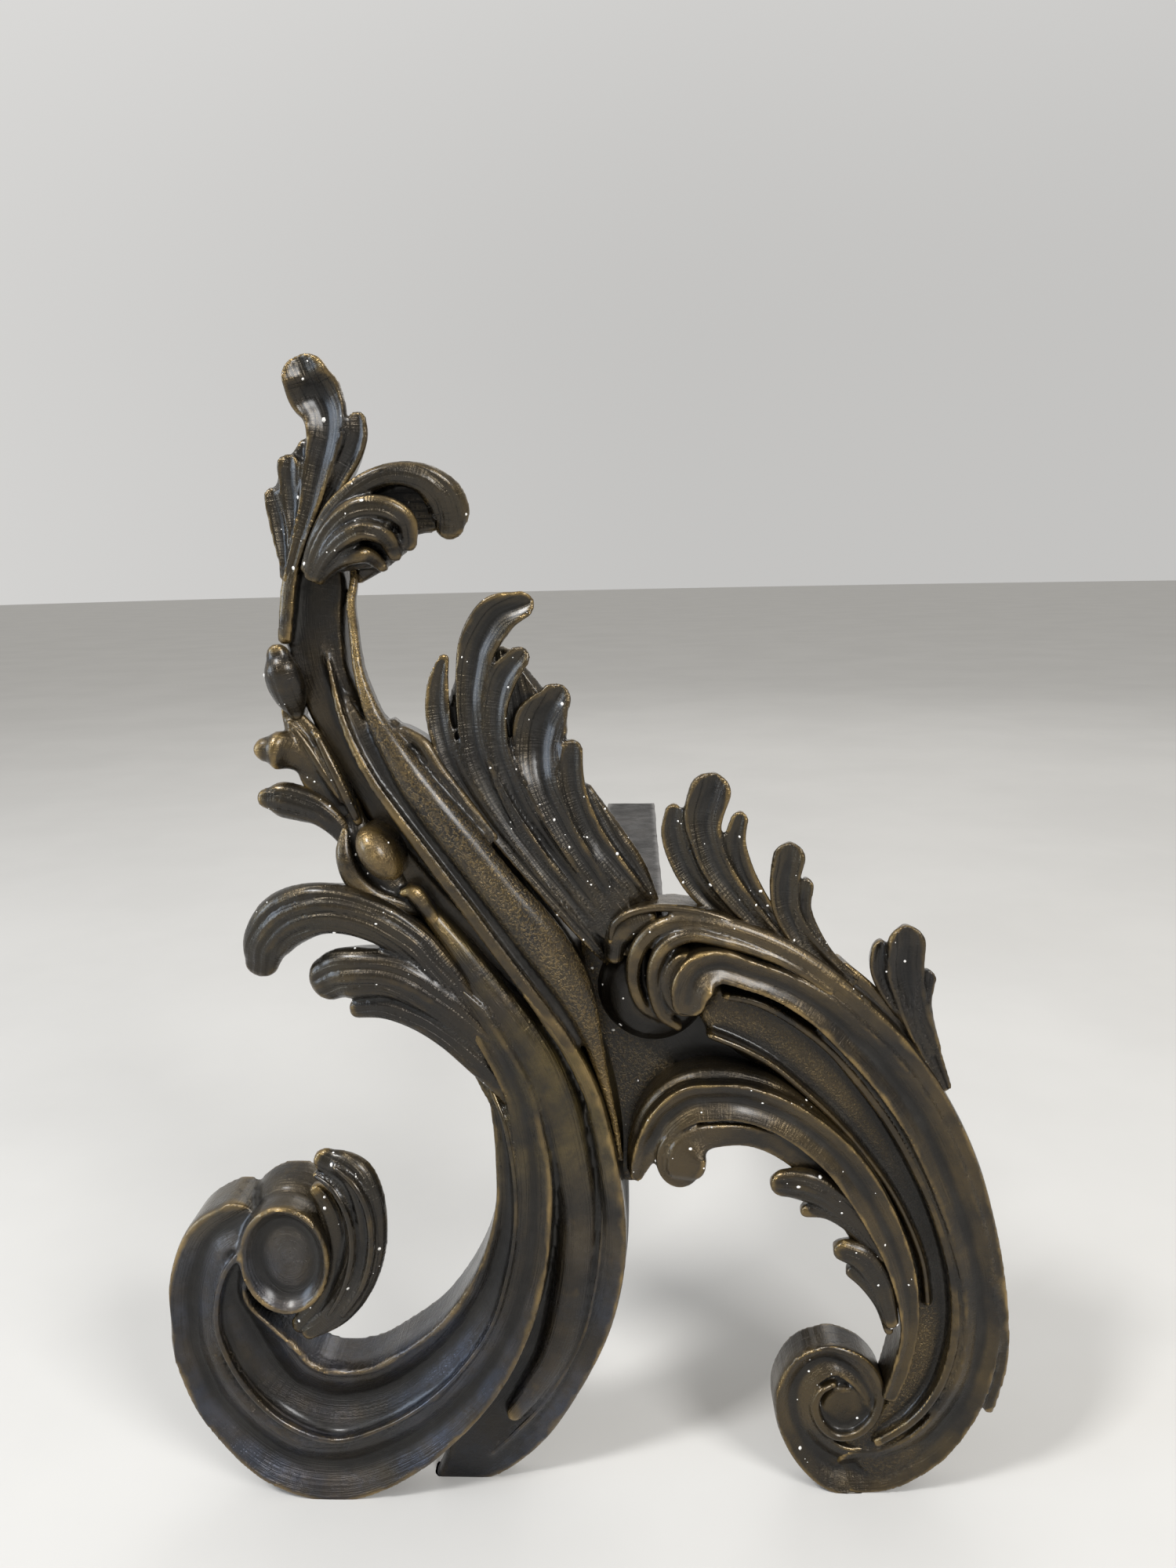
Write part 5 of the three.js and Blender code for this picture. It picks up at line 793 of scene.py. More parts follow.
def build_casting(name, settings, finishes):
    """One casting: its strands fused, smoothed, hollowed behind where large, and finished."""
    thing, points, flow, marks = strands_object(name)
    grain = settings.grain * LARGE.get(name, 1.0) * 1.0
    thing = fused(thing, name + "_cast", grain)
    smooth = relax(corners_of(thing.data), edges_of(thing.data), FUSED_ROUNDS, FUSED_SHARES)
    smooth[:, 2] = np.maximum(smooth[:, 2], 0.0)
    move_corners(thing.data, smooth)
    if name in HOLLOW:
        cutter = hollow_cutter(CASTINGS[name][0], settings.shell_wall / MM)
        cut = thing.modifiers.new("hollow", "BOOLEAN")
        cut.operation, cut.solver, cut.object = "DIFFERENCE", "MANIFOLD", cutter
        thing = applied(thing, name + "_cast")
        bpy.data.objects.remove(cutter, do_unlink=True)
        thing.data.update()
    add_surface_marks(thing, (points, flow, marks))
    finish_piece(thing, bronze_for(name, finishes), CAST_SLOTS.get(name, "bronze_dark"), name)


def finish_piece(thing, material, slot, *nodes):
    """Material, shading, body and the nodes that the piece stands for; the slot is not used."""
    mesh = thing.data
    mesh.materials.clear()
    mesh.materials.append(material)
    mesh.polygons.foreach_set("material_index", np.zeros(len(mesh.polygons), np.int32))
    mesh.polygons.foreach_set("use_smooth", np.ones(len(mesh.polygons), bool))
    mesh.update()
    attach(thing, BODY)
    if nodes:
        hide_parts(*nodes)


# ---------------------------------------------------------------- shader groups
def feed(tree, value, socket):
    """Links a node's output to a socket, or sets the socket to a plain value."""
    if isinstance(value, bpy.types.NodeSocket):
        tree.links.new(value, socket)
    else:
        socket.default_value = value


def put(tree, kind, inputs=None, **settings):
    """Adds a node, sets its properties and feeds its inputs."""
    node = tree.nodes.new(kind)
    for label, value in settings.items():
        setattr(node, label, value)
    for label, value in (inputs or {}).items():
        feed(tree, value, node.inputs[label])
    return node


def new_group(name, kind, inputs, outputs):
    """A node group with named inputs (name, kind of socket and, where it has one, default) and
    outputs; gives the tree, what comes in and what goes out."""
    tree = bpy.data.node_groups.new(name, kind)
    for label, socket_kind, *default in inputs:
        socket = tree.interface.new_socket(label, in_out="INPUT",
                                           socket_type="NodeSocket" + socket_kind)
        if default:
            socket.default_value = default[0]
    for label, socket_kind in outputs:
        tree.interface.new_socket(label, in_out="OUTPUT", socket_type="NodeSocket" + socket_kind)
    given, out = tree.nodes.new("NodeGroupInput"), tree.nodes.new("NodeGroupOutput")
    return tree, given.outputs, out.inputs


def noise(tree, where, scale, detail=3.0, rough=0.55):
    """A noise value on given coordinates."""
    return put(tree, "ShaderNodeTexNoise", {
        "Vector": where, "Scale": scale, "Detail": detail, "Roughness": rough}).outputs["Fac"]


def ramp(tree, value, low, high, out_low=0.0, out_high=1.0):
    """Maps low..high of a value to out_low..out_high smoothly."""
    return put(tree, "ShaderNodeMapRange", {
        "Value": value, "From Min": low, "From Max": high, "To Min": out_low,
        "To Max": out_high}, interpolation_type="SMOOTHSTEP").outputs["Result"]


def clouds(tree, where, scale, detail, rough, low, high, *out):
    """Cloudy patches: a noise mapped from low..high to 0..1, or to the two numbers in out."""
    return ramp(tree, noise(tree, where, scale, detail, rough), low, high, *out)


def maths(tree, operation, *values, clamp=False):
    """One sum; each value is a socket or a number."""
    return put(tree, "ShaderNodeMath", dict(enumerate(values)), operation=operation,
               use_clamp=clamp).outputs[0]


def times(tree, first, second):
    """The product of two values."""
    return maths(tree, "MULTIPLY", first, second)


def mixed(tree, share, first, second):
    """A colour between two others; each is a socket or a colour."""
    node = put(tree, "ShaderNodeMix", {"Factor": share}, data_type="RGBA")
    for label, colour in (("A", first), ("B", second)):
        socket = next(s for s in node.inputs if s.name == label and s.type == "RGBA")
        plain_colour = not isinstance(colour, bpy.types.NodeSocket)
        feed(tree, (*colour[:3], 1.0) if plain_colour else colour, socket)
    return next(s for s in node.outputs if s.type == "RGBA")


def part_of(tree, vector, axis):
    """One axis of a vector."""
    return put(tree, "ShaderNodeSeparateXYZ", {"Vector": vector}).outputs[axis]


def stretched(tree, where, scale):
    """Coordinates times a scale for each axis, which draws a pattern out along the least."""
    return put(tree, "ShaderNodeMapping", {"Vector": where, "Scale": scale}).outputs["Vector"]


def edge_wear_group():
    """Where hands and cloth have rubbed a surface bright: proud edges, broken up by a noise."""
    tree, given, out = new_group("Edge wear", "ShaderNodeTree", [
        ("Coordinates", "Vector"), ("Proud", "Float", 0.5), ("Start", "Float", 0.55),
        ("Full", "Float", 0.85), ("Breakup", "Float", 0.5)], [("Mask", "Float")])
    patches = noise(tree, given["Coordinates"], 190.0, 4.0, 0.6)
    shift = times(tree, maths(tree, "SUBTRACT", patches, 0.5), given["Breakup"])
    raised = maths(tree, "ADD", given["Proud"], shift)
    feed(tree, ramp(tree, raised, given["Start"], given["Full"]), out["Mask"])
    return tree


def cast_skin_group():
    """Cast skin: a fine grain all over, and coarse matting where the ground was punched."""
    tree, given, out = new_group("Cast skin", "ShaderNodeTree", [
        ("Coordinates", "Vector"), ("Grain scale", "Float", 1500.0),
        ("Matting scale", "Float", 1900.0), ("Matting", "Float", 0.0),
    ], [("Height", "Float"), ("Tops", "Float")])
    where = given["Coordinates"]
    grain = noise(tree, where, given["Grain scale"], 4.0, 0.6)
    lumps = noise(tree, where, 420.0, 3.0, 0.5)
    matting = noise(tree, where, given["Matting scale"], 2.0, 0.75)
    tops = times(tree, ramp(tree, matting, 0.44, 0.62), given["Matting"])
    rough = maths(tree, "ADD", times(tree, grain, 0.4), times(tree, lumps, 0.6))
    feed(tree, maths(tree, "ADD", rough, times(tree, tops, 0.85)), out["Height"])
    feed(tree, tops, out["Tops"])
    return tree


def file_marks_group():
    """Chased lines along a moulding, file strokes across it and flutes, from its own flow."""
    tree, given, out = new_group("File marks", "ShaderNodeTree", [
        ("Flow", "Vector"), ("Along", "Float", 0.5), ("Across", "Float", 0.5),
        ("Flutes", "Float", 0.0)], [("Height", "Float")])
    flow = given["Flow"]
    lines = noise(tree, stretched(tree, flow, (0.05, 3.4, 1.0)), 1.0, 3.0, 0.6)
    strokes = noise(tree, stretched(tree, flow, (2.6, 0.16, 1.0)), 1.0, 2.0, 0.5)
    height = maths(tree, "ADD", times(tree, lines, given["Along"]),
                   times(tree, strokes, given["Across"]))
    sway = noise(tree, stretched(tree, flow, (0.09, 0.2, 1.0)), 1.0, 1.0)
    wave = maths(tree, "COSINE", maths(tree, "MULTIPLY_ADD", part_of(tree, flow, "Y"), 4.6,
                                       times(tree, sway, 5.0)))
    flutes = ramp(tree, wave, -1.0, 0.4)
    feed(tree, maths(tree, "MULTIPLY_ADD", flutes, given["Flutes"], height), out["Height"])
    return tree


def dust_group():
    """Grey dust and old polish, which gathers in hollows and on faces turned upwards."""
    tree, given, out = new_group("Settled dust", "ShaderNodeTree", [
        ("Coordinates", "Vector"), ("Sunk", "Float", 0.5), ("Amount", "Float", 0.4),
    ], [("Mask", "Float")])
    upward = part_of(tree, put(tree, "ShaderNodeNewGeometry").outputs["Normal"], "Z")
    lying = times(tree, ramp(tree, upward, 0.2, 0.95), 0.2)
    held = times(tree, ramp(tree, given["Sunk"], 0.5, 0.9), 0.8)
    drift = clouds(tree, given["Coordinates"], 90.0, 5.0, 0.65, 0.35, 0.75)
    both = times(tree, maths(tree, "ADD", lying, held), drift)
    feed(tree, maths(tree, "MULTIPLY", both, given["Amount"], clamp=True), out["Mask"])
    return tree


GROUPS = {}


def use_group(tree, make, inputs):
    """Places the group that a function makes, which is made the first time; gives its outputs."""
    if make not in GROUPS:
        GROUPS[make] = make()
    return put(tree, "ShaderNodeGroup", inputs, node_tree=GROUPS[make]).outputs


def attribute(tree, name, output="Fac"):
    """What a mesh keeps under that name, for a shader."""
    return put(tree, "ShaderNodeAttribute", attribute_name=name).outputs[output]


def new_material(name, metallic):
    """A material with its node tree, its Principled shader's sockets and the coordinates."""
    material = bpy.data.materials.new(name)
    material.use_nodes = True
    tree = material.node_tree
    shader = tree.nodes["Principled BSDF"].inputs
    shader["Metallic"].default_value = metallic
    return material, tree, shader, put(tree, "ShaderNodeTexCoord").outputs["Object"]


def relief(tree, shader, height, strength, distance):
    """Gives a shader a bump of that strength and depth, in metres."""
    bump = put(tree, "ShaderNodeBump", {
        "Strength": strength, "Distance": distance, "Height": height})
    feed(tree, bump.outputs["Normal"], shader["Normal"])


def toned(colour, share):
    """A colour made lighter or darker."""
    return [share * part for part in colour]


# ---------------------------------------------------------------- the finishes
BLUE_FOOT = (0.045, 0.105)        # heights in metres between which the lower scroll's painted blue reflection turns olive
BROWN_STEM = (0.115, 0.150)       # and between which the upper scroll turns from brown to grey
DUST = (0.16, 0.15, 0.13)
COAT_WEIGHT, COAT_ROUGHNESS = 0.42, 0.24       # the wax over the bronze
BARE_IRON = (0.24, 0.23, 0.22)    # iron rubbed bright on its edges
FLOOR_ROUGHNESS, FLOOR_SHEEN = 0.9, 0.15
LEAF_MARKS = (0.2, 0.5, 0.4)      # lines along, strokes across and flutes, on a leaf
SCROLL_MARKS = (0.9, 0.2, 0.0)    # the same on the lower scroll
FINISHES = {}
# Which bronze each casting wears, where it isn't the plain one.
CAST_FINISH = {
    "berry": "golden", "scroll_head": "warm", "husk_leaf": "leaf", "bud_upper": "leaf",
    "bud_middle": "warm", "scroll_upper": "stem", "foot_volute": "warm", "c_scroll": "warm",
    "inner_scroll": "warm", "scroll_lower": "cool", "side_leaf": "grey", "mid_leaf": "grey",
    "volute_shell": "grey", "crest_leaf": "grey", "crest_curl": "grey", "sprig_upper": "leaf",
    "sprig_middle": "leaf", "sprig_lower": "leaf", "inner_leaf_upper": "leaf",
    "inner_leaf_lower": "leaf",
}


def bronze(name, dark, warm, rubbed, low=None, wear=(0.62, 1.0), dust=0.16,
           marks=(0.5, 0.3, 0.0), polish=0.12):
    """Patinated bronze: brown-black in the ground, warmer in patches, rubbed through on edges, with
    painted shade in the hollows and painted highlights on the sharpest crests.

    low is another colour for below a height, with the heights in metres where it starts to give
    way and has gone: warm brown low on the upper scroll, and on the lower scroll a painted blue
    reflection of the window light. wear is how proud an edge is where wear starts and is full.
    marks are how deep the lines along, the strokes across and the flutes are.
    """
    material, tree, shader, where = new_material(name, 0.8)
    shader["Coat Weight"].default_value = COAT_WEIGHT
    shader["Coat Roughness"].default_value = COAT_ROUGHNESS
    proud, sunk, soot = (attribute(tree, mark) for mark in ("proud", "sunk", "soot"))
    if low:
        colour, start, full = low
        height = maths(tree, "MULTIPLY_ADD", noise(tree, where, 30.0), 0.03,
                       part_of(tree, where, "Z"))
        warm = mixed(tree, ramp(tree, height, start, full), colour, warm)
    base = mixed(tree, clouds(tree, where, 42.0, 6.0, 0.62, 0.36, 0.66), dark, warm)
    base = mixed(tree, clouds(tree, where, 330.0, 5.0, 0.7, 0.46, 0.68, 0.0, 0.55), base, dark)
    worn = use_group(tree, edge_wear_group, {
        "Coordinates": where, "Proud": proud, "Start": wear[0], "Full": wear[1],
        "Breakup": 0.8})["Mask"]
    rubs = times(tree, clouds(tree, where, 60.0, 4.0, 0.6, 0.36, 0.66), polish)
    worn = maths(tree, "MAXIMUM", times(tree, worn, 0.42), rubs)
    # The tops of the punched matting are rubbed bright, and the same brightening also stands in for
    # their glitter as a painted highlight.
    skin = use_group(tree, cast_skin_group, {
        "Coordinates": where, "Matting": attribute(tree, "pits")})
    worn = maths(tree, "ADD", worn, times(tree, skin["Tops"], 0.45), clamp=True)
    base = mixed(tree, worn, base, rubbed)
    glint = times(tree, ramp(tree, proud, 0.8, 1.0),
                  clouds(tree, where, 75.0, 4.0, 0.6, 0.4, 0.62))
    base = mixed(tree, times(tree, glint, 0.8), base, toned(rubbed, 1.5))
    # Painted shade: hollows, by how sunk they are, and strands carrying painted shade darken
    # towards a quarter of the dark patina and grow rougher.
    shade = maths(tree, "MAXIMUM", times(tree, ramp(tree, sunk, 0.52, 0.8), 0.88),
                  times(tree, soot, 0.9))
    base = mixed(tree, shade, base, toned(dark, 0.25))
    dusty = use_group(tree, dust_group, {
        "Coordinates": where, "Sunk": sunk, "Amount": dust})["Mask"]
    feed(tree, mixed(tree, dusty, base, DUST), shader["Base Color"])
    rough = clouds(tree, where, 130.0, 4.0, 0.6, 0.3, 0.7, 0.22, 0.36)
    rough = maths(tree, "ADD", rough, times(tree, shade, 0.2))
    rough = maths(tree, "ADD", rough, times(tree, dusty, 0.4), clamp=True)
    feed(tree, rough, shader["Roughness"])
    cuts = use_group(tree, file_marks_group, {
        "Flow": attribute(tree, "flow", "Vector"), "Along": marks[0], "Across": marks[1],
        "Flutes": marks[2]})
    relief(tree, shader, maths(tree, "ADD", skin["Height"], cuts["Height"]), 0.6, 0.00045)
    return material


def finish(kind, settings):
    """The bronze of that kind, made once."""
    if kind in FINISHES:
        return FINISHES[kind]
    dark, warm, rubbed, gold, grey, cool, olive = (tuple(getattr(settings, colour)) for colour in (
        "patina_dark", "patina_warm", "rubbed", "gold", "patina_grey", "painted_blue_reflection",
        "patina_olive"))
    FINISHES[kind] = {
        "plain": lambda: bronze("Bronze patina", dark, grey, rubbed),
        "grey": lambda: bronze("Bronze grey patina", dark, grey, toned(rubbed, 0.6), dust=0.2,
                               marks=LEAF_MARKS),
        "leaf": lambda: bronze("Bronze dark leaves", dark, grey, toned(rubbed, 0.5),
                               marks=LEAF_MARKS),
        "warm": lambda: bronze("Bronze brown patina", dark, warm, rubbed, polish=0.22),
        # The lower scroll: a painted blue reflection of the window light low down, olive above.
        "cool": lambda: bronze("Bronze blue patina", dark, olive, rubbed, (cool, *BLUE_FOOT),
                               marks=SCROLL_MARKS),
        "stem": lambda: bronze("Bronze brown and grey patina", dark, grey, toned(rubbed, 0.8),
                               (warm, *BROWN_STEM), polish=0.2),
        "golden": lambda: bronze("Bronze rubbed bright", dark, warm, gold, wear=(0.42, 0.9),
                                 dust=0.15, polish=0.5),
    }[kind]()
    return FINISHES[kind]


def bronze_for(name, settings):
    """The bronze that a casting wears."""
    return finish(CAST_FINISH.get(name, "plain"), settings)


def forged_iron(settings):
    """Black forged iron: hammer facets, scale and a little brown rust."""
    material, tree, shader, where = new_material("Forged iron", 0.75)
    scale = clouds(tree, where, 55.0, 6.0, 0.65, 0.35, 0.7)
    base = mixed(tree, scale, tuple(settings.iron), tuple(settings.iron_scale))
    rust = clouds(tree, where, 24.0, 8.0, 0.7, 0.56, 0.72, 0.0, 0.75)
    base = mixed(tree, rust, base, tuple(settings.rust))
    worn = use_group(tree, edge_wear_group, {
        "Coordinates": where, "Proud": attribute(tree, "proud"), "Start": 0.58, "Full": 0.9,
        "Breakup": 0.5})["Mask"]
    base = mixed(tree, times(tree, worn, 0.6), base, BARE_IRON)
    dusty = use_group(tree, dust_group, {
        "Coordinates": where, "Sunk": attribute(tree, "sunk"), "Amount": 0.2})["Mask"]
    feed(tree, mixed(tree, dusty, base, DUST), shader["Base Color"])
    rough = clouds(tree, where, 160.0, 5.0, 0.6, 0.3, 0.7, 0.5, 0.72)
    rough = maths(tree, "ADD", rough, times(tree, rust, 0.25), clamp=True)
    feed(tree, rough, shader["Roughness"])
    dents = put(tree, "ShaderNodeTexVoronoi", {
        "Vector": where, "Scale": 105.0, "Randomness": 1.0}, feature="SMOOTH_F1")
    skin = use_group(tree, cast_skin_group, {
        "Coordinates": where, "Grain scale": 900.0, "Matting scale": 600.0, "Matting": 0.35})
    height = maths(tree, "ADD", times(tree, dents.outputs["Distance"], 1.6), skin["Height"])
    relief(tree, shader, height, 0.3, 0.0005)
    return material


def screw_steel(settings):
    """Old steel screws, browned, with turning marks."""
    material, tree, shader, where = new_material("Screw steel", 0.9)
    stain = clouds(tree, where, 420.0, 5.0, 0.6, 0.4, 0.7)
    feed(tree, mixed(tree, stain, tuple(settings.steel), tuple(settings.rust)),
         shader["Base Color"])
    feed(tree, clouds(tree, where, 900.0, 3.0, 0.5, 0.3, 0.7, 0.45, 0.65), shader["Roughness"])
    skin = use_group(tree, cast_skin_group, {
        "Coordinates": where, "Grain scale": 3000.0, "Matting scale": 1800.0, "Matting": 0.3})
    relief(tree, shader, skin["Height"], 0.35, 0.0002)
    return material


def limewash(settings):
    """The small pale splashes that lie on the castings."""
    material, tree, shader, where = new_material("Pale splashes", 0.0)
    tone = clouds(tree, where, 800.0, 3.0, 0.5, 0.3, 0.7)
    feed(tree, mixed(tree, tone, tuple(settings.splash), toned(settings.splash, 0.7)),
         shader["Base Color"])
    feed(tree, ramp(tree, tone, 0.0, 1.0, 0.6, 0.85), shader["Roughness"])
    return material


def pale_floor(settings):
    """A plain matt floor, pale grey with faint clouds."""
    material, tree, shader, where = new_material("Floor", 0.0)
    cloud = clouds(tree, where, 7.0, 5.0, 0.6, 0.3, 0.7)
    feed(tree, mixed(tree, cloud, toned(settings.floor, 0.95), tuple(settings.floor)),
         shader["Base Color"])
    shader["Roughness"].default_value = FLOOR_ROUGHNESS
    shader["Specular IOR Level"].default_value = FLOOR_SHEEN
    return material


# ---------------------------------------------------------------- settings a user would change
class ANDIRON_PG_casting(bpy.types.PropertyGroup):
    grain: FloatProperty(name="Mesh grain", description="Size of the finest form kept on a casting",
                         default=0.0004, min=0.0002, max=0.002, unit="LENGTH")
    shell_wall: FloatProperty(name="Shell wall", description="Wall of the castings hollow behind",
                              default=0.0024, min=0.001, max=0.006, unit="LENGTH")
    boss_width: FloatProperty(name="Boss width", description="Width of the boss behind the web",
                              default=0.026, min=0.018, max=0.04, unit="LENGTH")


class ANDIRON_PG_bar(bpy.types.PropertyGroup):
    thickness: FloatProperty(name="Bar thickness", description="Height of the log bar's section",
                             default=0.010, min=0.006, max=0.02, unit="LENGTH")
    flange: FloatProperty(name="Flange thickness", description="Thickness of the upturned flange",
                          default=0.005, min=0.003, max=0.01, unit="LENGTH")
    top: FloatProperty(name="Log height", description="Height of the log bar's top above the floor",
                       default=0.090, min=0.05, max=0.12, unit="LENGTH")
    bend: FloatProperty(name="Rear bend", description="Outer radius of the bend into the rear leg",
                        default=0.016, min=0.012, max=0.03, unit="LENGTH")
    hammering: FloatProperty(name="Hammering", description="Depth of the hammer facets",
                             default=0.00035, min=0.0, max=0.001, unit="LENGTH")


class ANDIRON_PG_screw(bpy.types.PropertyGroup):
    head: FloatProperty(name="Head width", description="Width of a screw's head",
                        default=0.0075, min=0.005, max=0.01, unit="LENGTH")
    rise: FloatProperty(name="Head height", description="How far a head stands off the flange",
                        default=0.0032, min=0.001, max=0.005, unit="LENGTH")
    shank: FloatProperty(name="Shank", description="Diameter of a screw's shank",
                         default=0.005, min=0.003, max=0.006, unit="LENGTH")
    slot: FloatProperty(name="Slot width", description="Width of the slot for the driver",
                        default=0.0012, min=0.0005, max=0.002, unit="LENGTH")


class ANDIRON_PG_finish(bpy.types.PropertyGroup):
    patina_dark: FloatVectorProperty(name="Patina, dark", description="Bronze in the ground",
                                     subtype="COLOR", default=(0.014, 0.012, 0.010))
    patina_warm: FloatVectorProperty(name="Patina, brown", description="Bronze in warmer patches",
                                     subtype="COLOR", default=(0.031, 0.022, 0.010))
    patina_grey: FloatVectorProperty(name="Patina, grey", description="Grey brown patches",
                                     subtype="COLOR", default=(0.025, 0.020, 0.012))
    # A painted reflection: the blue of the window light on the low parts of the lower scroll.
    painted_blue_reflection: FloatVectorProperty(name="Painted blue reflection", description="Blue black painted reflection",
                                     subtype="COLOR", default=(0.032, 0.040, 0.060))
    patina_olive: FloatVectorProperty(name="Patina, olive", description="Olive gold mouldings",
                                      subtype="COLOR", default=(0.095, 0.068, 0.020))
    rubbed: FloatVectorProperty(name="Rubbed edge", description="Bronze rubbed through",
                                subtype="COLOR", default=(0.21, 0.14, 0.050))
    gold: FloatVectorProperty(name="Bright edge", description="Bronze polished by touch",
                              subtype="COLOR", default=(0.34, 0.22, 0.07))
    iron: FloatVectorProperty(name="Iron", description="Forged iron", subtype="COLOR",
                              default=(0.026, 0.024, 0.022))
    iron_scale: FloatVectorProperty(name="Fire scale", description="Scale on the iron",
                                    subtype="COLOR", default=(0.055, 0.050, 0.046))
    rust: FloatVectorProperty(name="Rust", description="Brown rust", subtype="COLOR",
                              default=(0.085, 0.040, 0.020))
    steel: FloatVectorProperty(name="Screw steel", description="Screw heads", subtype="COLOR",
                               default=(0.10, 0.095, 0.09))
    splash: FloatVectorProperty(name="Splashes", description="Small pale splashes",
                                subtype="COLOR", default=(0.80, 0.78, 0.74))


class ANDIRON_PG_splash(bpy.types.PropertyGroup):
    count: IntProperty(name="Splashes", description="How many pale splashes lie on the front",
                       default=230, min=0, max=1000)
    size: FloatProperty(name="Splash size", description="Width of a usual splash",
                        default=0.0005, min=0.0001, max=0.002, unit="LENGTH")
    seed: IntProperty(name="Seed", description="Draw of the places of the splashes",
                      default=7, min=0)


class ANDIRON_PG_stage(bpy.types.PropertyGroup):
    floor: FloatVectorProperty(name="Floor", description="Colour of the plain floor",
                               subtype="COLOR", default=(0.50, 0.49, 0.47))
    lens: FloatProperty(name="Lens", description="Focal length of the camera in millimetres",
                        default=27.0, min=10.0, max=200.0)
    key: FloatProperty(name="Key light", description="Power of the soft light at the upper left",
                       default=9.0, min=0.0, max=50.0, unit="POWER")
    fill: FloatProperty(name="Fill light", description="Power of the soft light at the right",
                        default=8.0, min=0.0, max=50.0, unit="POWER")
    rear: FloatProperty(name="Rear light", description="Power of the soft light behind",
                        default=2.0, min=0.0, max=50.0, unit="POWER")
    window: FloatProperty(name="Window light", description="Power of the cool light at the left",
                          default=5.0, min=0.0, max=50.0, unit="POWER")
    room: FloatProperty(name="Room light", description="Strength of the light from all round",
                        default=0.55, min=0.0, max=2.0)


SETTINGS = {
    "andiron_casting": ANDIRON_PG_casting, "andiron_bar": ANDIRON_PG_bar,
    "andiron_screw": ANDIRON_PG_screw, "andiron_finish": ANDIRON_PG_finish,
    "andiron_splash": ANDIRON_PG_splash, "andiron_stage": ANDIRON_PG_stage,
}


# ---------------------------------------------------------------- geometry nodes
def new_geometry_tree(name, *sizes):
    """A geometry tree with its sizes as named inputs between the geometry and the material."""
    return new_group(name, "GeometryNodeTree",
                     [("Geometry", "Geometry"), *sizes, ("Material", "Material")],
                     [("Geometry", "Geometry")])


def close_tree(tree, given, out, geometry):
    """Ends a tree in real geometry with its material."""
    real = put(tree, "GeometryNodeRealizeInstances", {"Geometry": geometry})
    dressed = put(tree, "GeometryNodeSetMaterial", {
        "Geometry": real.outputs["Geometry"], "Material": given["Material"]})
    feed(tree, dressed.outputs["Geometry"], out["Geometry"])
    return tree


def named(tree, name, kind="FLOAT"):
    """The attribute of that name, as a field."""
    return put(tree, "GeometryNodeInputNamedAttribute", {"Name": name},
               data_type=kind).outputs["Attribute"]


def swept(tree, given, half_width):
    """A round solid along the path that comes in, with the half width that a field gives."""
    path = put(tree, "GeometryNodeMeshToCurve", {"Mesh": given["Geometry"]})
    profile = put(tree, "GeometryNodeCurvePrimitiveCircle", {
        "Radius": 1.0, "Resolution": given["Roundness"]})
    return put(tree, "GeometryNodeCurveToMesh", {
        "Curve": path.outputs["Curve"], "Profile Curve": profile.outputs["Curve"],
        "Scale": half_width, "Fill Caps": True}).outputs["Mesh"]


def run_tree(thing, tree, values, name):
    """Runs a tree on an object with its inputs set, and gives the result as a plain mesh."""
    modifier = thing.modifiers.new("nodes", "NODES")
    modifier.node_group = tree
    for item in tree.interface.items_tree:
        if item.in_out == "INPUT" and item.name in values:
            modifier[item.identifier] = values[item.name]
    return applied(thing, name)


def bead_tree():
    """Rolls a round bead along a path, as thick as the path says at each point."""
    tree, given, out = new_geometry_tree(
        "Bead moulding", ("Roundness", "Int"), ("Fullness", "Float"))
    bead = swept(tree, given, times(tree, named(tree, "bead"), given["Fullness"]))
    smooth = put(tree, "GeometryNodeSetShadeSmooth", {"Geometry": bead})
    return close_tree(tree, given, out, smooth.outputs["Geometry"])


BLADE_LENGTH = 0.03     # of the block that cuts a screw's slot, in metres
SLOT_TURN = 0.42        # how far round the slot stands, in radians


def screw_tree():
    """Turns a round-headed screw along its path and slots its head."""
    tree, given, out = new_geometry_tree(
        "Flange screws", ("Slot width", "Float"), ("Slot depth", "Float"), ("Head top", "Float"),
        ("Roundness", "Int"))
    screw = swept(tree, given, named(tree, "turning"))
    size = put(tree, "ShaderNodeCombineXYZ", {
        "X": BLADE_LENGTH, "Y": times(tree, given["Slot depth"], 2.0), "Z": given["Slot width"]})
    blade = put(tree, "GeometryNodeMeshCube", {"Size": size.outputs["Vector"]})
    lift = put(tree, "ShaderNodeCombineXYZ", {"Y": given["Head top"]})
    slot = put(tree, "GeometryNodeTransform", {
        "Geometry": blade.outputs["Mesh"], "Translation": lift.outputs["Vector"],
        "Rotation": (0.0, SLOT_TURN, 0.0)})
    cut = put(tree, "GeometryNodeMeshBoolean", {
        "Mesh 1": screw, "Mesh 2": slot.outputs["Geometry"]}, operation="DIFFERENCE")
    return close_tree(tree, given, out, cut.outputs["Mesh"])


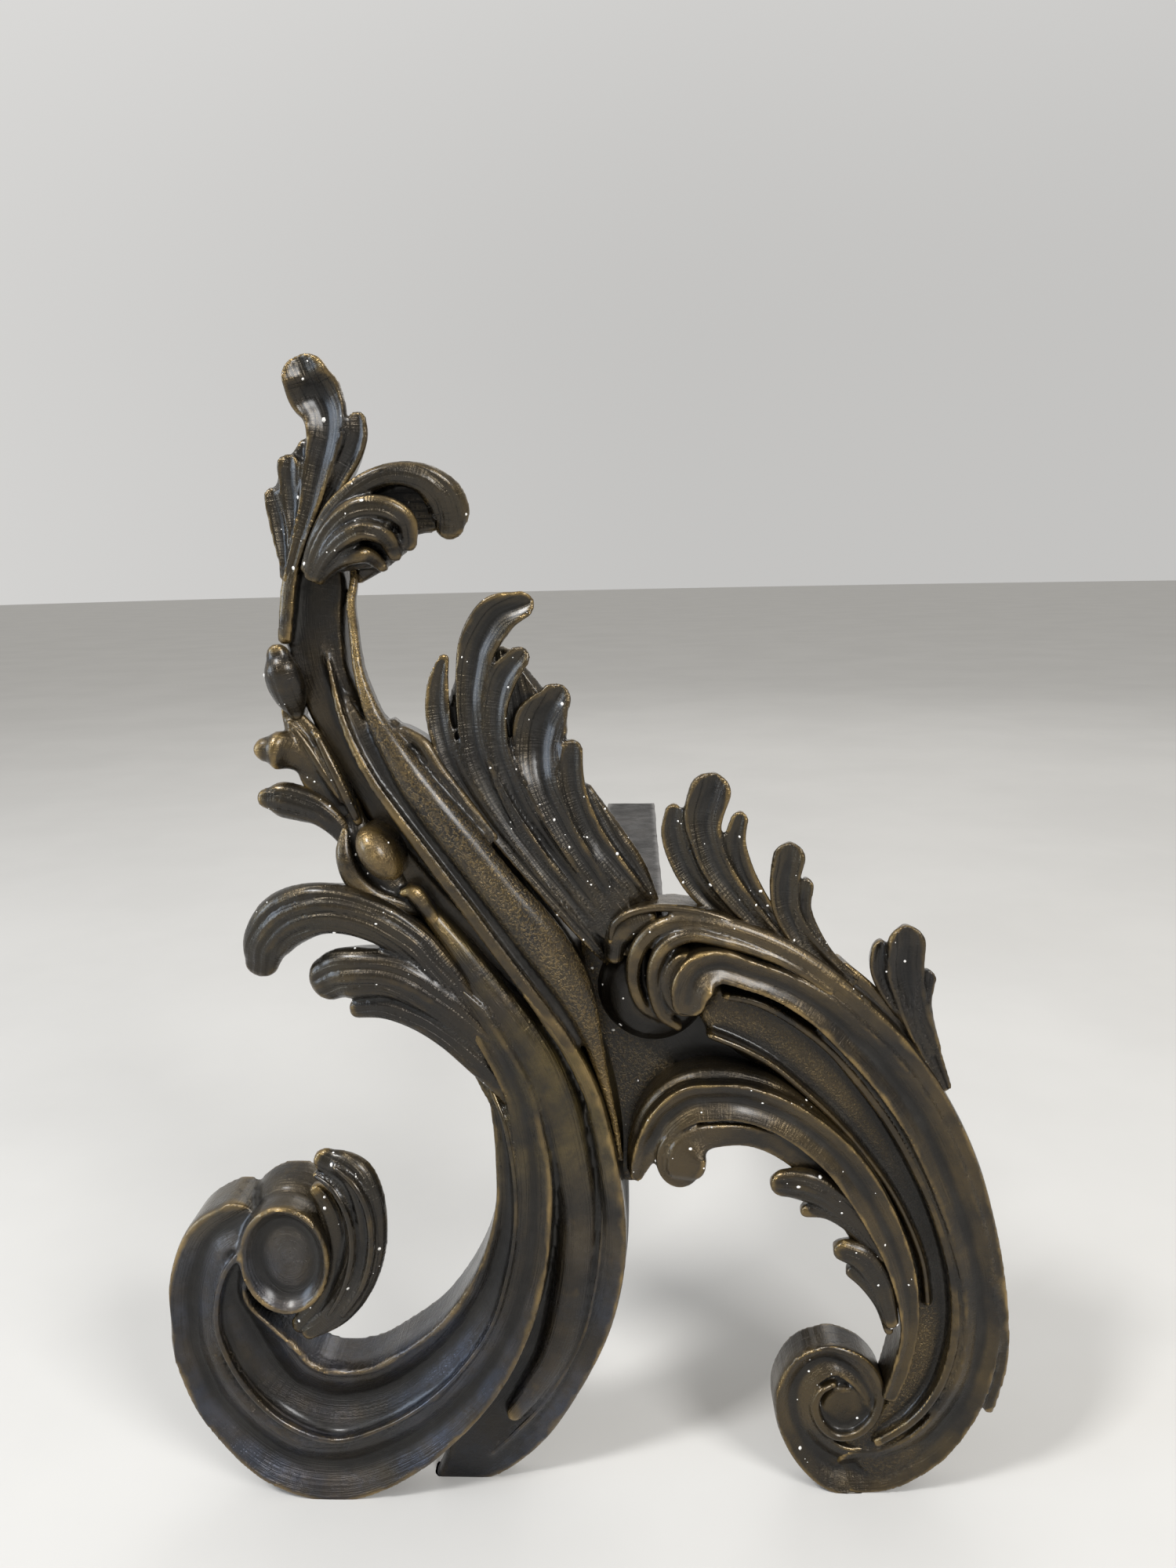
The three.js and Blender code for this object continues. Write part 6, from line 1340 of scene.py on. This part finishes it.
def splash_tree():
    """Lays a flat drop at each point, turned to lie on the surface."""
    tree, given, out = new_geometry_tree("Pale splashes", ("Size", "Float"), ("Flatness", "Float"))
    drop = put(tree, "GeometryNodeMeshIcoSphere", {"Radius": 0.5, "Subdivisions": 1})
    turn = put(tree, "FunctionNodeAlignRotationToVector", {
        "Vector": named(tree, "facing", "FLOAT_VECTOR")}, axis="Z")
    width = times(tree, named(tree, "share"), given["Size"])
    scale = put(tree, "ShaderNodeCombineXYZ", {
        "X": width, "Y": times(tree, width, named(tree, "oval")),
        "Z": times(tree, width, given["Flatness"])})
    laid = put(tree, "GeometryNodeInstanceOnPoints", {
        "Points": given["Geometry"], "Instance": drop.outputs["Mesh"],
        "Rotation": turn.outputs["Rotation"], "Scale": scale.outputs["Vector"]})
    return close_tree(tree, given, out, laid.outputs["Instances"])


def path_object(name, chains, field):
    """Open chains of points as a mesh of edges, with one value at each point."""
    points, edges, values = [], [], []
    for chain, chain_values in chains:
        edges += [(len(points) + k, len(points) + k + 1) for k in range(len(chain) - 1)]
        points += [tuple(point) for point in chain]
        values += list(chain_values)
    thing = mesh_object(name, points, [], edges)
    write_attribute(thing.data, field, np.array(values, float))
    return thing


# ---------------------------------------------------------------- builders
BEAD_STEP = 0.5         # mm between a bead's rings
BEAD_TAPER = 1.6        # length of a bead's rounded end, in half widths
BEAD_LEAST = 0.02       # square of the least share of its width left at an end
BEAD_SEAT = 0.92        # how far below the crest its middle lies, in half widths
BEAD_ROUNDNESS = 10     # sides of a bead
BEAD_MARKS = {"proud": 0.74, "sunk": 0.4}

FORGED_GRAIN = 0.0008   # grain of the log bar's mesh, in metres
FORGED_ROUNDS, FORGED_SHARES = 14, (0.5, -0.51)
BEND_STEPS = 12         # points round the bend
BLOWS, BLOW_SEED, BLOW_REACH = 900, 11, 0.012
BAR_FOOT = 0.001        # height below which the rear foot isn't hammered, in metres

BOSS_X, BOSS_HEIGHTS = -1.8, (81.5, 96, 110)   # the boss behind the web, in mm
BOSS_FACE, BOSS_BACK = 8, 17

SCREWS = ("screw_upper", "screw_lower")
SCREW_ROUNDNESS = 40    # sides of a screw
SLOT_DEPTH = 0.0013     # metres
DOME_ANGLES = (0.12, 1.45, 9)       # the head's dome in radians: first, last and how many
POINT_LENGTHS = (0.0002, 0.0008)    # from a screw's end to its chamfer's start and end
POINT_SHARE = 0.42      # radius at the start of the chamfer, as a share of the diameter
NECK = 0.0001           # how far below its head the shank ends, in metres
HEAD_EDGE, HEAD_SHARE = 0.0002, 0.96    # height and share of the radius of the head's lower edge

SPLASH_FACING = -0.35   # points that face further forward than this may carry a splash
SPLASH_FLATNESS = 0.45
SPLASH_LEAST, SPLASH_SPREAD, SPLASH_BIAS = 0.45, 1.3, 3     # sizes, of the usual; most are small
OVAL_LEAST, OVAL_SPREAD = 0.6, 0.8


def bead_chain(strand):
    """The middle line of a thin raised line and its half width, in metres, with rounded ends."""
    line = sample_rows(strand["rows"], BEAD_STEP)
    run = np.concatenate(([0], np.cumsum(np.linalg.norm(np.diff(line[:, :2], axis=0), axis=1))))
    half = line[:, 2]
    reach = np.clip(np.minimum(run, run[-1] - run) / (BEAD_TAPER * half), 0, 1)
    taper = np.sqrt(np.clip(1 - (1 - reach) ** 2, BEAD_LEAST, 1))
    middle = np.stack((line[:, 0], line[:, 3] + half * BEAD_SEAT, line[:, 1]), 1)
    return (middle + STRAND_ORIGIN) * MM, half * taper * MM


def build_castings(context, *names):
    """The castings of those names."""
    for name in names:
        build_casting(name, context.scene.andiron_casting, context.scene.andiron_finish)


def build_beads(context):
    """Every thin raised line as a crisp bead, one object for each casting that carries some."""
    tree = bead_tree()
    for name, strands in CASTINGS.items():
        chains = [bead_chain(s) for s in strands if s["kind"] == "rib" and s["section"] == "line"]
        if not chains:
            continue
        material = bronze_for(name, context.scene.andiron_finish)
        thing = run_tree(path_object(name + "_lines", chains, "bead"), tree, {
            "Roundness": BEAD_ROUNDNESS, "Fullness": 1.0, "Material": material}, name + "_beads")
        for mark, value in BEAD_MARKS.items():
            write_attribute(thing.data, mark, np.full(len(thing.data.vertices), value))
        finish_piece(thing, material, CAST_SLOTS.get(name, "bronze_dark"))


def bar_outline(bar, low, high):
    """The bar from the side, as y and z: upturned flange, log bar, bend and rear leg."""
    turn = np.linspace(math.pi / 2, 0, BEND_STEPS)
    centre_y, centre_z = high[1] - bar.bend, bar.top - bar.bend

    def bend(radius, angles):
        """A quarter turn of that radius round the bend's centre."""
        return [(centre_y + radius * math.cos(a), centre_z + radius * math.sin(a))
                for a in angles]
    flange = low[1] + bar.flange
    return [(low[1], bar.top - bar.thickness), (low[1], high[2]), (flange, high[2]),
            (flange, bar.top), *bend(bar.bend, turn), (high[1], low[2]),
            (high[1] - bar.thickness, low[2]), *bend(bar.bend - bar.thickness, turn[::-1])]


def hammer(thing, depth):
    """Presses shallow overlapping facets into a forging, from a fixed draw of blows."""
    points, normals = corners_of(thing.data), normals_of(thing.data)
    low, high = points.min(0), points.max(0)
    blows = low + (high - low) * np.random.default_rng(BLOW_SEED).random((BLOWS, 3))
    tree = tree_of(blows)
    away = np.fromiter((tree.find(point)[2] for point in points), float, len(points))
    press = depth * (1 - np.clip(away / BLOW_REACH, 0, 1) ** 2)
    struck = points[:, 2] > low[2] + BAR_FOOT
    move_corners(thing.data, points - normals * (press * struck)[:, None])


def build_bar(context):
    """The log bar with its flange and rear leg, in one hammered forging."""
    bar = context.scene.andiron_bar
    low, high = (np.array(corner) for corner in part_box("log_bar"))
    outline = bar_outline(bar, low, high)
    count = len(outline)
    corners = np.array([(x, y, z) for x in (low[0], high[0]) for y, z in outline])
    faces = [list(range(count)), list(range(2 * count - 1, count - 1, -1))]
    faces += [[k, k + count, (k + 1) % count + count, (k + 1) % count] for k in range(count)]
    name = "log_bar_forging"
    thing = fused(mesh_object(name, corners, faces), name,
                  FORGED_GRAIN * (1))
    mesh = thing.data
    move_corners(mesh, relax(corners_of(mesh), edges_of(mesh), FORGED_ROUNDS, FORGED_SHARES))
    hammer(thing, bar.hammering)
    add_surface_marks(thing)
    finish_piece(thing, forged_iron(context.scene.andiron_finish), "wrought_iron", "log_bar")


def build_web(context):
    """The textured ground between the scrolls, with the boss that carries the log bar."""
    half = context.scene.andiron_casting.boss_width / MM / 2
    CASTINGS["web_plate"] = CASTINGS["web_plate"] + [
        rib("flat", BOSS_BACK, "open", *((BOSS_X, z, half, BOSS_FACE) for z in BOSS_HEIGHTS))]
    build_castings(context, "web_plate")


def screw_profile(screw, end, under):
    """A screw along its axis from its end: distance and radius, up to the top of its dome."""
    radius = screw.head / 2
    return [
        (end + POINT_LENGTHS[0], screw.shank * POINT_SHARE),
        (end + POINT_LENGTHS[1], screw.shank * 0.5), (under - NECK, screw.shank * 0.5),
        (under, radius * HEAD_SHARE), (under + HEAD_EDGE, radius),
        *((under + screw.rise * math.sin(a), radius * math.cos(a))
          for a in np.linspace(*DOME_ANGLES))]


def build_screws(context):
    """Both flange screws, from sizes; each stands for its solid."""
    screw = context.scene.andiron_screw
    tree, steel = screw_tree(), screw_steel(context.scene.andiron_finish)
    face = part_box("log_bar")[0][1] + context.scene.andiron_bar.flange
    for name in SCREWS:
        low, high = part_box(name)
        middle = [(a + b) / 2 for a, b in zip(low, high)]
        under = face - middle[1]
        shape = screw_profile(screw, low[1] - middle[1], under)
        path = path_object(name + "_path", [
            ([(0.0, y, 0.0) for y, _ in shape], [radius for _, radius in shape])], "turning")
        thing = run_tree(path, tree, {
            "Slot width": screw.slot, "Slot depth": SLOT_DEPTH, "Head top": under + screw.rise,
            "Roundness": SCREW_ROUNDNESS, "Material": steel}, name + "_turned")
        move_corners(thing.data, corners_of(thing.data) + np.array(middle))
        finish_piece(thing, steel, "screw_steel", name)


def build_splashes(context):
    """Small pale splashes on the front of the castings, from a fixed draw."""
    splash = context.scene.andiron_splash
    draw = np.random.default_rng(splash.seed)
    places, normals = [], []
    for name in CASTINGS:
        thing = bpy.data.objects.get(name + "_cast")
        if thing is None:
            continue
        points, facing = corners_of(thing.data), normals_of(thing.data)
        front = facing[:, 1] < SPLASH_FACING
        places.append(points[front])
        normals.append(facing[front])
    places, normals = np.vstack(places), np.vstack(normals)
    chosen = draw.choice(len(places), min(splash.count, len(places)), replace=False)
    thing = mesh_object("splash_points", places[chosen], [])
    write_attribute(thing.data, "facing", normals[chosen])
    sizes = SPLASH_LEAST + SPLASH_SPREAD * draw.random(len(chosen)) ** SPLASH_BIAS
    write_attribute(thing.data, "share", sizes)
    write_attribute(thing.data, "oval", OVAL_LEAST + OVAL_SPREAD * draw.random(len(chosen)))
    material = limewash(context.scene.andiron_finish)
    thing = run_tree(thing, splash_tree(), {
        "Size": splash.size, "Flatness": SPLASH_FLATNESS, "Material": material}, "pale_splashes")
    finish_piece(thing, material, "bronze_dark")


# ---------------------------------------------------------------- the stage
ROOM_DARK = 0.6     # light from in front of the object, as a share of that from behind it
ROOM_COLOUR = (1.0, 0.99, 0.97, 1.0)
CAMERA_PLACE = (0.01052, -0.3207, 0.1782)
CAMERA_PITCH, CAMERA_ROLL, CAMERA_YAW = 10.46, 1.21, 2.36   # down, clockwise, left, in degrees
SENSOR_WIDTH = 36.0     # mm
CLIP_NEAR, CLIP_FAR = 0.01, 20.0        # metres
FLOOR_REACH, FLOOR_SIDES = 9.0, 96      # metres from its middle, and corners
LIT = (0.0, -0.09, 0.1)     # where the lights look
WHITE, SKY = (1.0, 1.0, 1.0), (0.68, 0.81, 1.0)
# The soft lights: the setting that holds the power, place, size and colour.
LIGHTS = {
    "key_light": ("key", (-0.5, -0.6, 0.95), 0.16, WHITE),
    "window_light": ("window", (-0.95, -0.45, 0.3), 0.4, SKY),
    "fill_light": ("fill", (0.5, -0.75, 0.6), 0.3, WHITE),
    "rear_light": ("rear", (0.25, 0.9, 0.8), 0.6, WHITE),
}


def camera_matrix():
    """The camera's turn and place, from its pitch, roll and yaw."""
    pitch, roll, yaw = (math.radians(a) for a in (CAMERA_PITCH, CAMERA_ROLL, CAMERA_YAW))
    right = Vector((math.cos(yaw), math.sin(yaw), 0))
    ahead = Vector((-math.sin(yaw), math.cos(yaw), 0))
    up = Vector((0, 0, 1))
    look = ahead * math.cos(pitch) - up * math.sin(pitch)
    down = -(up * math.cos(pitch) + ahead * math.sin(pitch))
    across = right * math.cos(roll) + down * math.sin(roll)
    along = down * math.cos(roll) - right * math.sin(roll)
    turn = Matrix((across, -along, -look)).transposed().to_4x4()
    return Matrix.Translation(CAMERA_PLACE) @ turn


def soft_light(name, power, place, size, colour):
    """A square area light that looks at the object."""
    data = bpy.data.lights.new(name, "AREA")
    data.shape, data.size, data.energy, data.color = "SQUARE", size, power, colour
    lamp = add_object(name, data)
    lamp.location = place
    lamp.rotation_euler = (Vector(LIT) - Vector(place)).to_track_quat("-Z", "Y").to_euler()


def plain_room(strength):
    """A pale room: light overhead and behind the object, dimmer in front of it."""
    world = bpy.data.worlds.new("Plain room")
    bpy.context.scene.world = world
    world.use_nodes = True
    tree = world.node_tree
    toward = put(tree, "ShaderNodeTexCoord").outputs["Generated"]
    overhead = ramp(tree, part_of(tree, toward, "Z"), 0.15, 0.95, 0.0, 0.62)
    wall = ramp(tree, part_of(tree, toward, "Y"), -0.5, 0.35, ROOM_DARK, 1.0)
    left = ramp(tree, part_of(tree, toward, "X"), -0.9, 0.1, 0.3, 0.0)
    level = maths(tree, "ADD", maths(tree, "ADD", wall, overhead), left)
    background = tree.nodes["Background"].inputs
    feed(tree, times(tree, level, strength), background["Strength"])
    background["Color"].default_value = ROOM_COLOUR


def build_stage(context):
    """Plain floor, soft lights, pale room and the camera."""
    stage = context.scene.andiron_stage
    angles = [2 * math.pi * k / FLOOR_SIDES for k in range(FLOOR_SIDES)]
    ground = mesh_object("floor", [
        (FLOOR_REACH * math.cos(a), FLOOR_REACH * math.sin(a), 0.0) for a in angles
    ], [list(range(FLOOR_SIDES))])
    ground.data.materials.append(pale_floor(stage))
    plain_room(stage.room)
    for name, (power, *light) in LIGHTS.items():
        soft_light(name, getattr(stage, power), *light)
    data = bpy.data.cameras.new("camera")
    data.lens, data.sensor_width, data.sensor_fit = stage.lens, SENSOR_WIDTH, "AUTO"
    data.clip_start, data.clip_end = CLIP_NEAR, CLIP_FAR
    camera = add_object("camera", data)
    camera.matrix_world = camera_matrix()
    bpy.context.scene.camera = camera
    bpy.context.scene.view_settings.view_transform = "Standard"


# ---------------------------------------------------------------- operators and panel
class ANDIRON_OT_crest(bpy.types.Operator):
    """Build the crest leaf, its curl and the two buds below it"""
    bl_idname = "andiron.crest"
    bl_label = "Crest and buds"

    def execute(self, context):
        build_castings(context, "crest_leaf", "crest_curl", "bud_upper", "bud_middle")
        return {"FINISHED"}


class ANDIRON_OT_berry(bpy.types.Operator):
    """Build the husk leaf and the berry in its cup"""
    bl_idname = "andiron.berry"
    bl_label = "Husk and berry"

    def execute(self, context):
        build_castings(context, "husk_leaf", "berry", "berry_cup")
        return {"FINISHED"}


class ANDIRON_OT_leaves(bpy.types.Operator):
    """Build the large side leaf, the middle leaf and the shell on the volute"""
    bl_idname = "andiron.leaves"
    bl_label = "Large leaves"

    def execute(self, context):
        build_castings(context, "side_leaf", "mid_leaf", "volute_shell")
        return {"FINISHED"}


class ANDIRON_OT_sprigs(bpy.types.Operator):
    """Build the three sprigs on the right and the two leaves inside the right scroll"""
    bl_idname = "andiron.sprigs"
    bl_label = "Sprigs"

    def execute(self, context):
        build_castings(context, "sprig_upper", "sprig_middle", "sprig_lower",
                       "inner_leaf_upper", "inner_leaf_lower")
        return {"FINISHED"}


class ANDIRON_OT_left_scrolls(bpy.types.Operator):
    """Build the long scroll from the crest down to the left foot"""
    bl_idname = "andiron.left_scrolls"
    bl_label = "Left scroll"

    def execute(self, context):
        build_castings(context, "scroll_upper", "scroll_lower")
        return {"FINISHED"}


class ANDIRON_OT_right_scrolls(bpy.types.Operator):
    """Build the scroll head, the right scroll, its inner scroll and the foot volute"""
    bl_idname = "andiron.right_scrolls"
    bl_label = "Right scroll"

    def execute(self, context):
        build_castings(context, "scroll_head", "c_scroll", "inner_scroll", "foot_volute")
        return {"FINISHED"}


class ANDIRON_OT_web(bpy.types.Operator):
    """Build the ground between the scrolls and its boss"""
    bl_idname = "andiron.web"
    bl_label = "Web and boss"

    def execute(self, context):
        build_web(context)
        return {"FINISHED"}


class ANDIRON_OT_beads(bpy.types.Operator):
    """Roll the thin bead mouldings along the castings"""
    bl_idname = "andiron.beads"
    bl_label = "Bead mouldings"

    def execute(self, context):
        build_beads(context)
        return {"FINISHED"}


class ANDIRON_OT_bar(bpy.types.Operator):
    """Build the forged log bar with its flange and rear leg"""
    bl_idname = "andiron.bar"
    bl_label = "Log bar"

    def execute(self, context):
        build_bar(context)
        return {"FINISHED"}


class ANDIRON_OT_screws(bpy.types.Operator):
    """Turn the two screws that hold the flange"""
    bl_idname = "andiron.screws"
    bl_label = "Screws"

    def execute(self, context):
        build_screws(context)
        return {"FINISHED"}


class ANDIRON_OT_splashes(bpy.types.Operator):
    """Scatter small pale splashes over the front"""
    bl_idname = "andiron.splashes"
    bl_label = "Pale splashes"

    def execute(self, context):
        build_splashes(context)
        return {"FINISHED"}


class ANDIRON_OT_stage(bpy.types.Operator):
    """Lay the floor and set the lights and the camera"""
    bl_idname = "andiron.stage"
    bl_label = "Stage"

    def execute(self, context):
        build_stage(context)
        return {"FINISHED"}


OPERATORS = (
    ANDIRON_OT_crest, ANDIRON_OT_berry, ANDIRON_OT_leaves, ANDIRON_OT_sprigs,
    ANDIRON_OT_left_scrolls, ANDIRON_OT_right_scrolls, ANDIRON_OT_web, ANDIRON_OT_beads,
    ANDIRON_OT_bar, ANDIRON_OT_screws, ANDIRON_OT_splashes, ANDIRON_OT_stage,
)


class ANDIRON_PT_panel(bpy.types.Panel):
    """The andiron's settings and build steps"""
    bl_idname = "ANDIRON_PT_panel"
    bl_label = "Andiron"
    bl_space_type = "VIEW_3D"
    bl_region_type = "UI"
    bl_category = "Andiron"

    def draw(self, context):
        for step in OPERATORS:
            self.layout.operator(step.bl_idname)
        for name, kind in SETTINGS.items():
            box = self.layout.box()
            group_settings = getattr(context.scene, name)
            for field in kind.__annotations__:
                box.prop(group_settings, field)


def register():
    for kind in (*SETTINGS.values(), *OPERATORS, ANDIRON_PT_panel):
        bpy.utils.register_class(kind)
    for name, kind in SETTINGS.items():
        setattr(bpy.types.Scene, name, PointerProperty(type=kind))


def unregister():
    for name in SETTINGS:
        delattr(bpy.types.Scene, name)
    for kind in reversed((*SETTINGS.values(), *OPERATORS, ANDIRON_PT_panel)):
        bpy.utils.unregister_class(kind)


def main():
    """Builds every piece and the stage."""
    register()
    for step in OPERATORS:
        family, name = step.bl_idname.split(".")
        getattr(getattr(bpy.ops, family), name)()


if __name__ == "__main__":
    main()
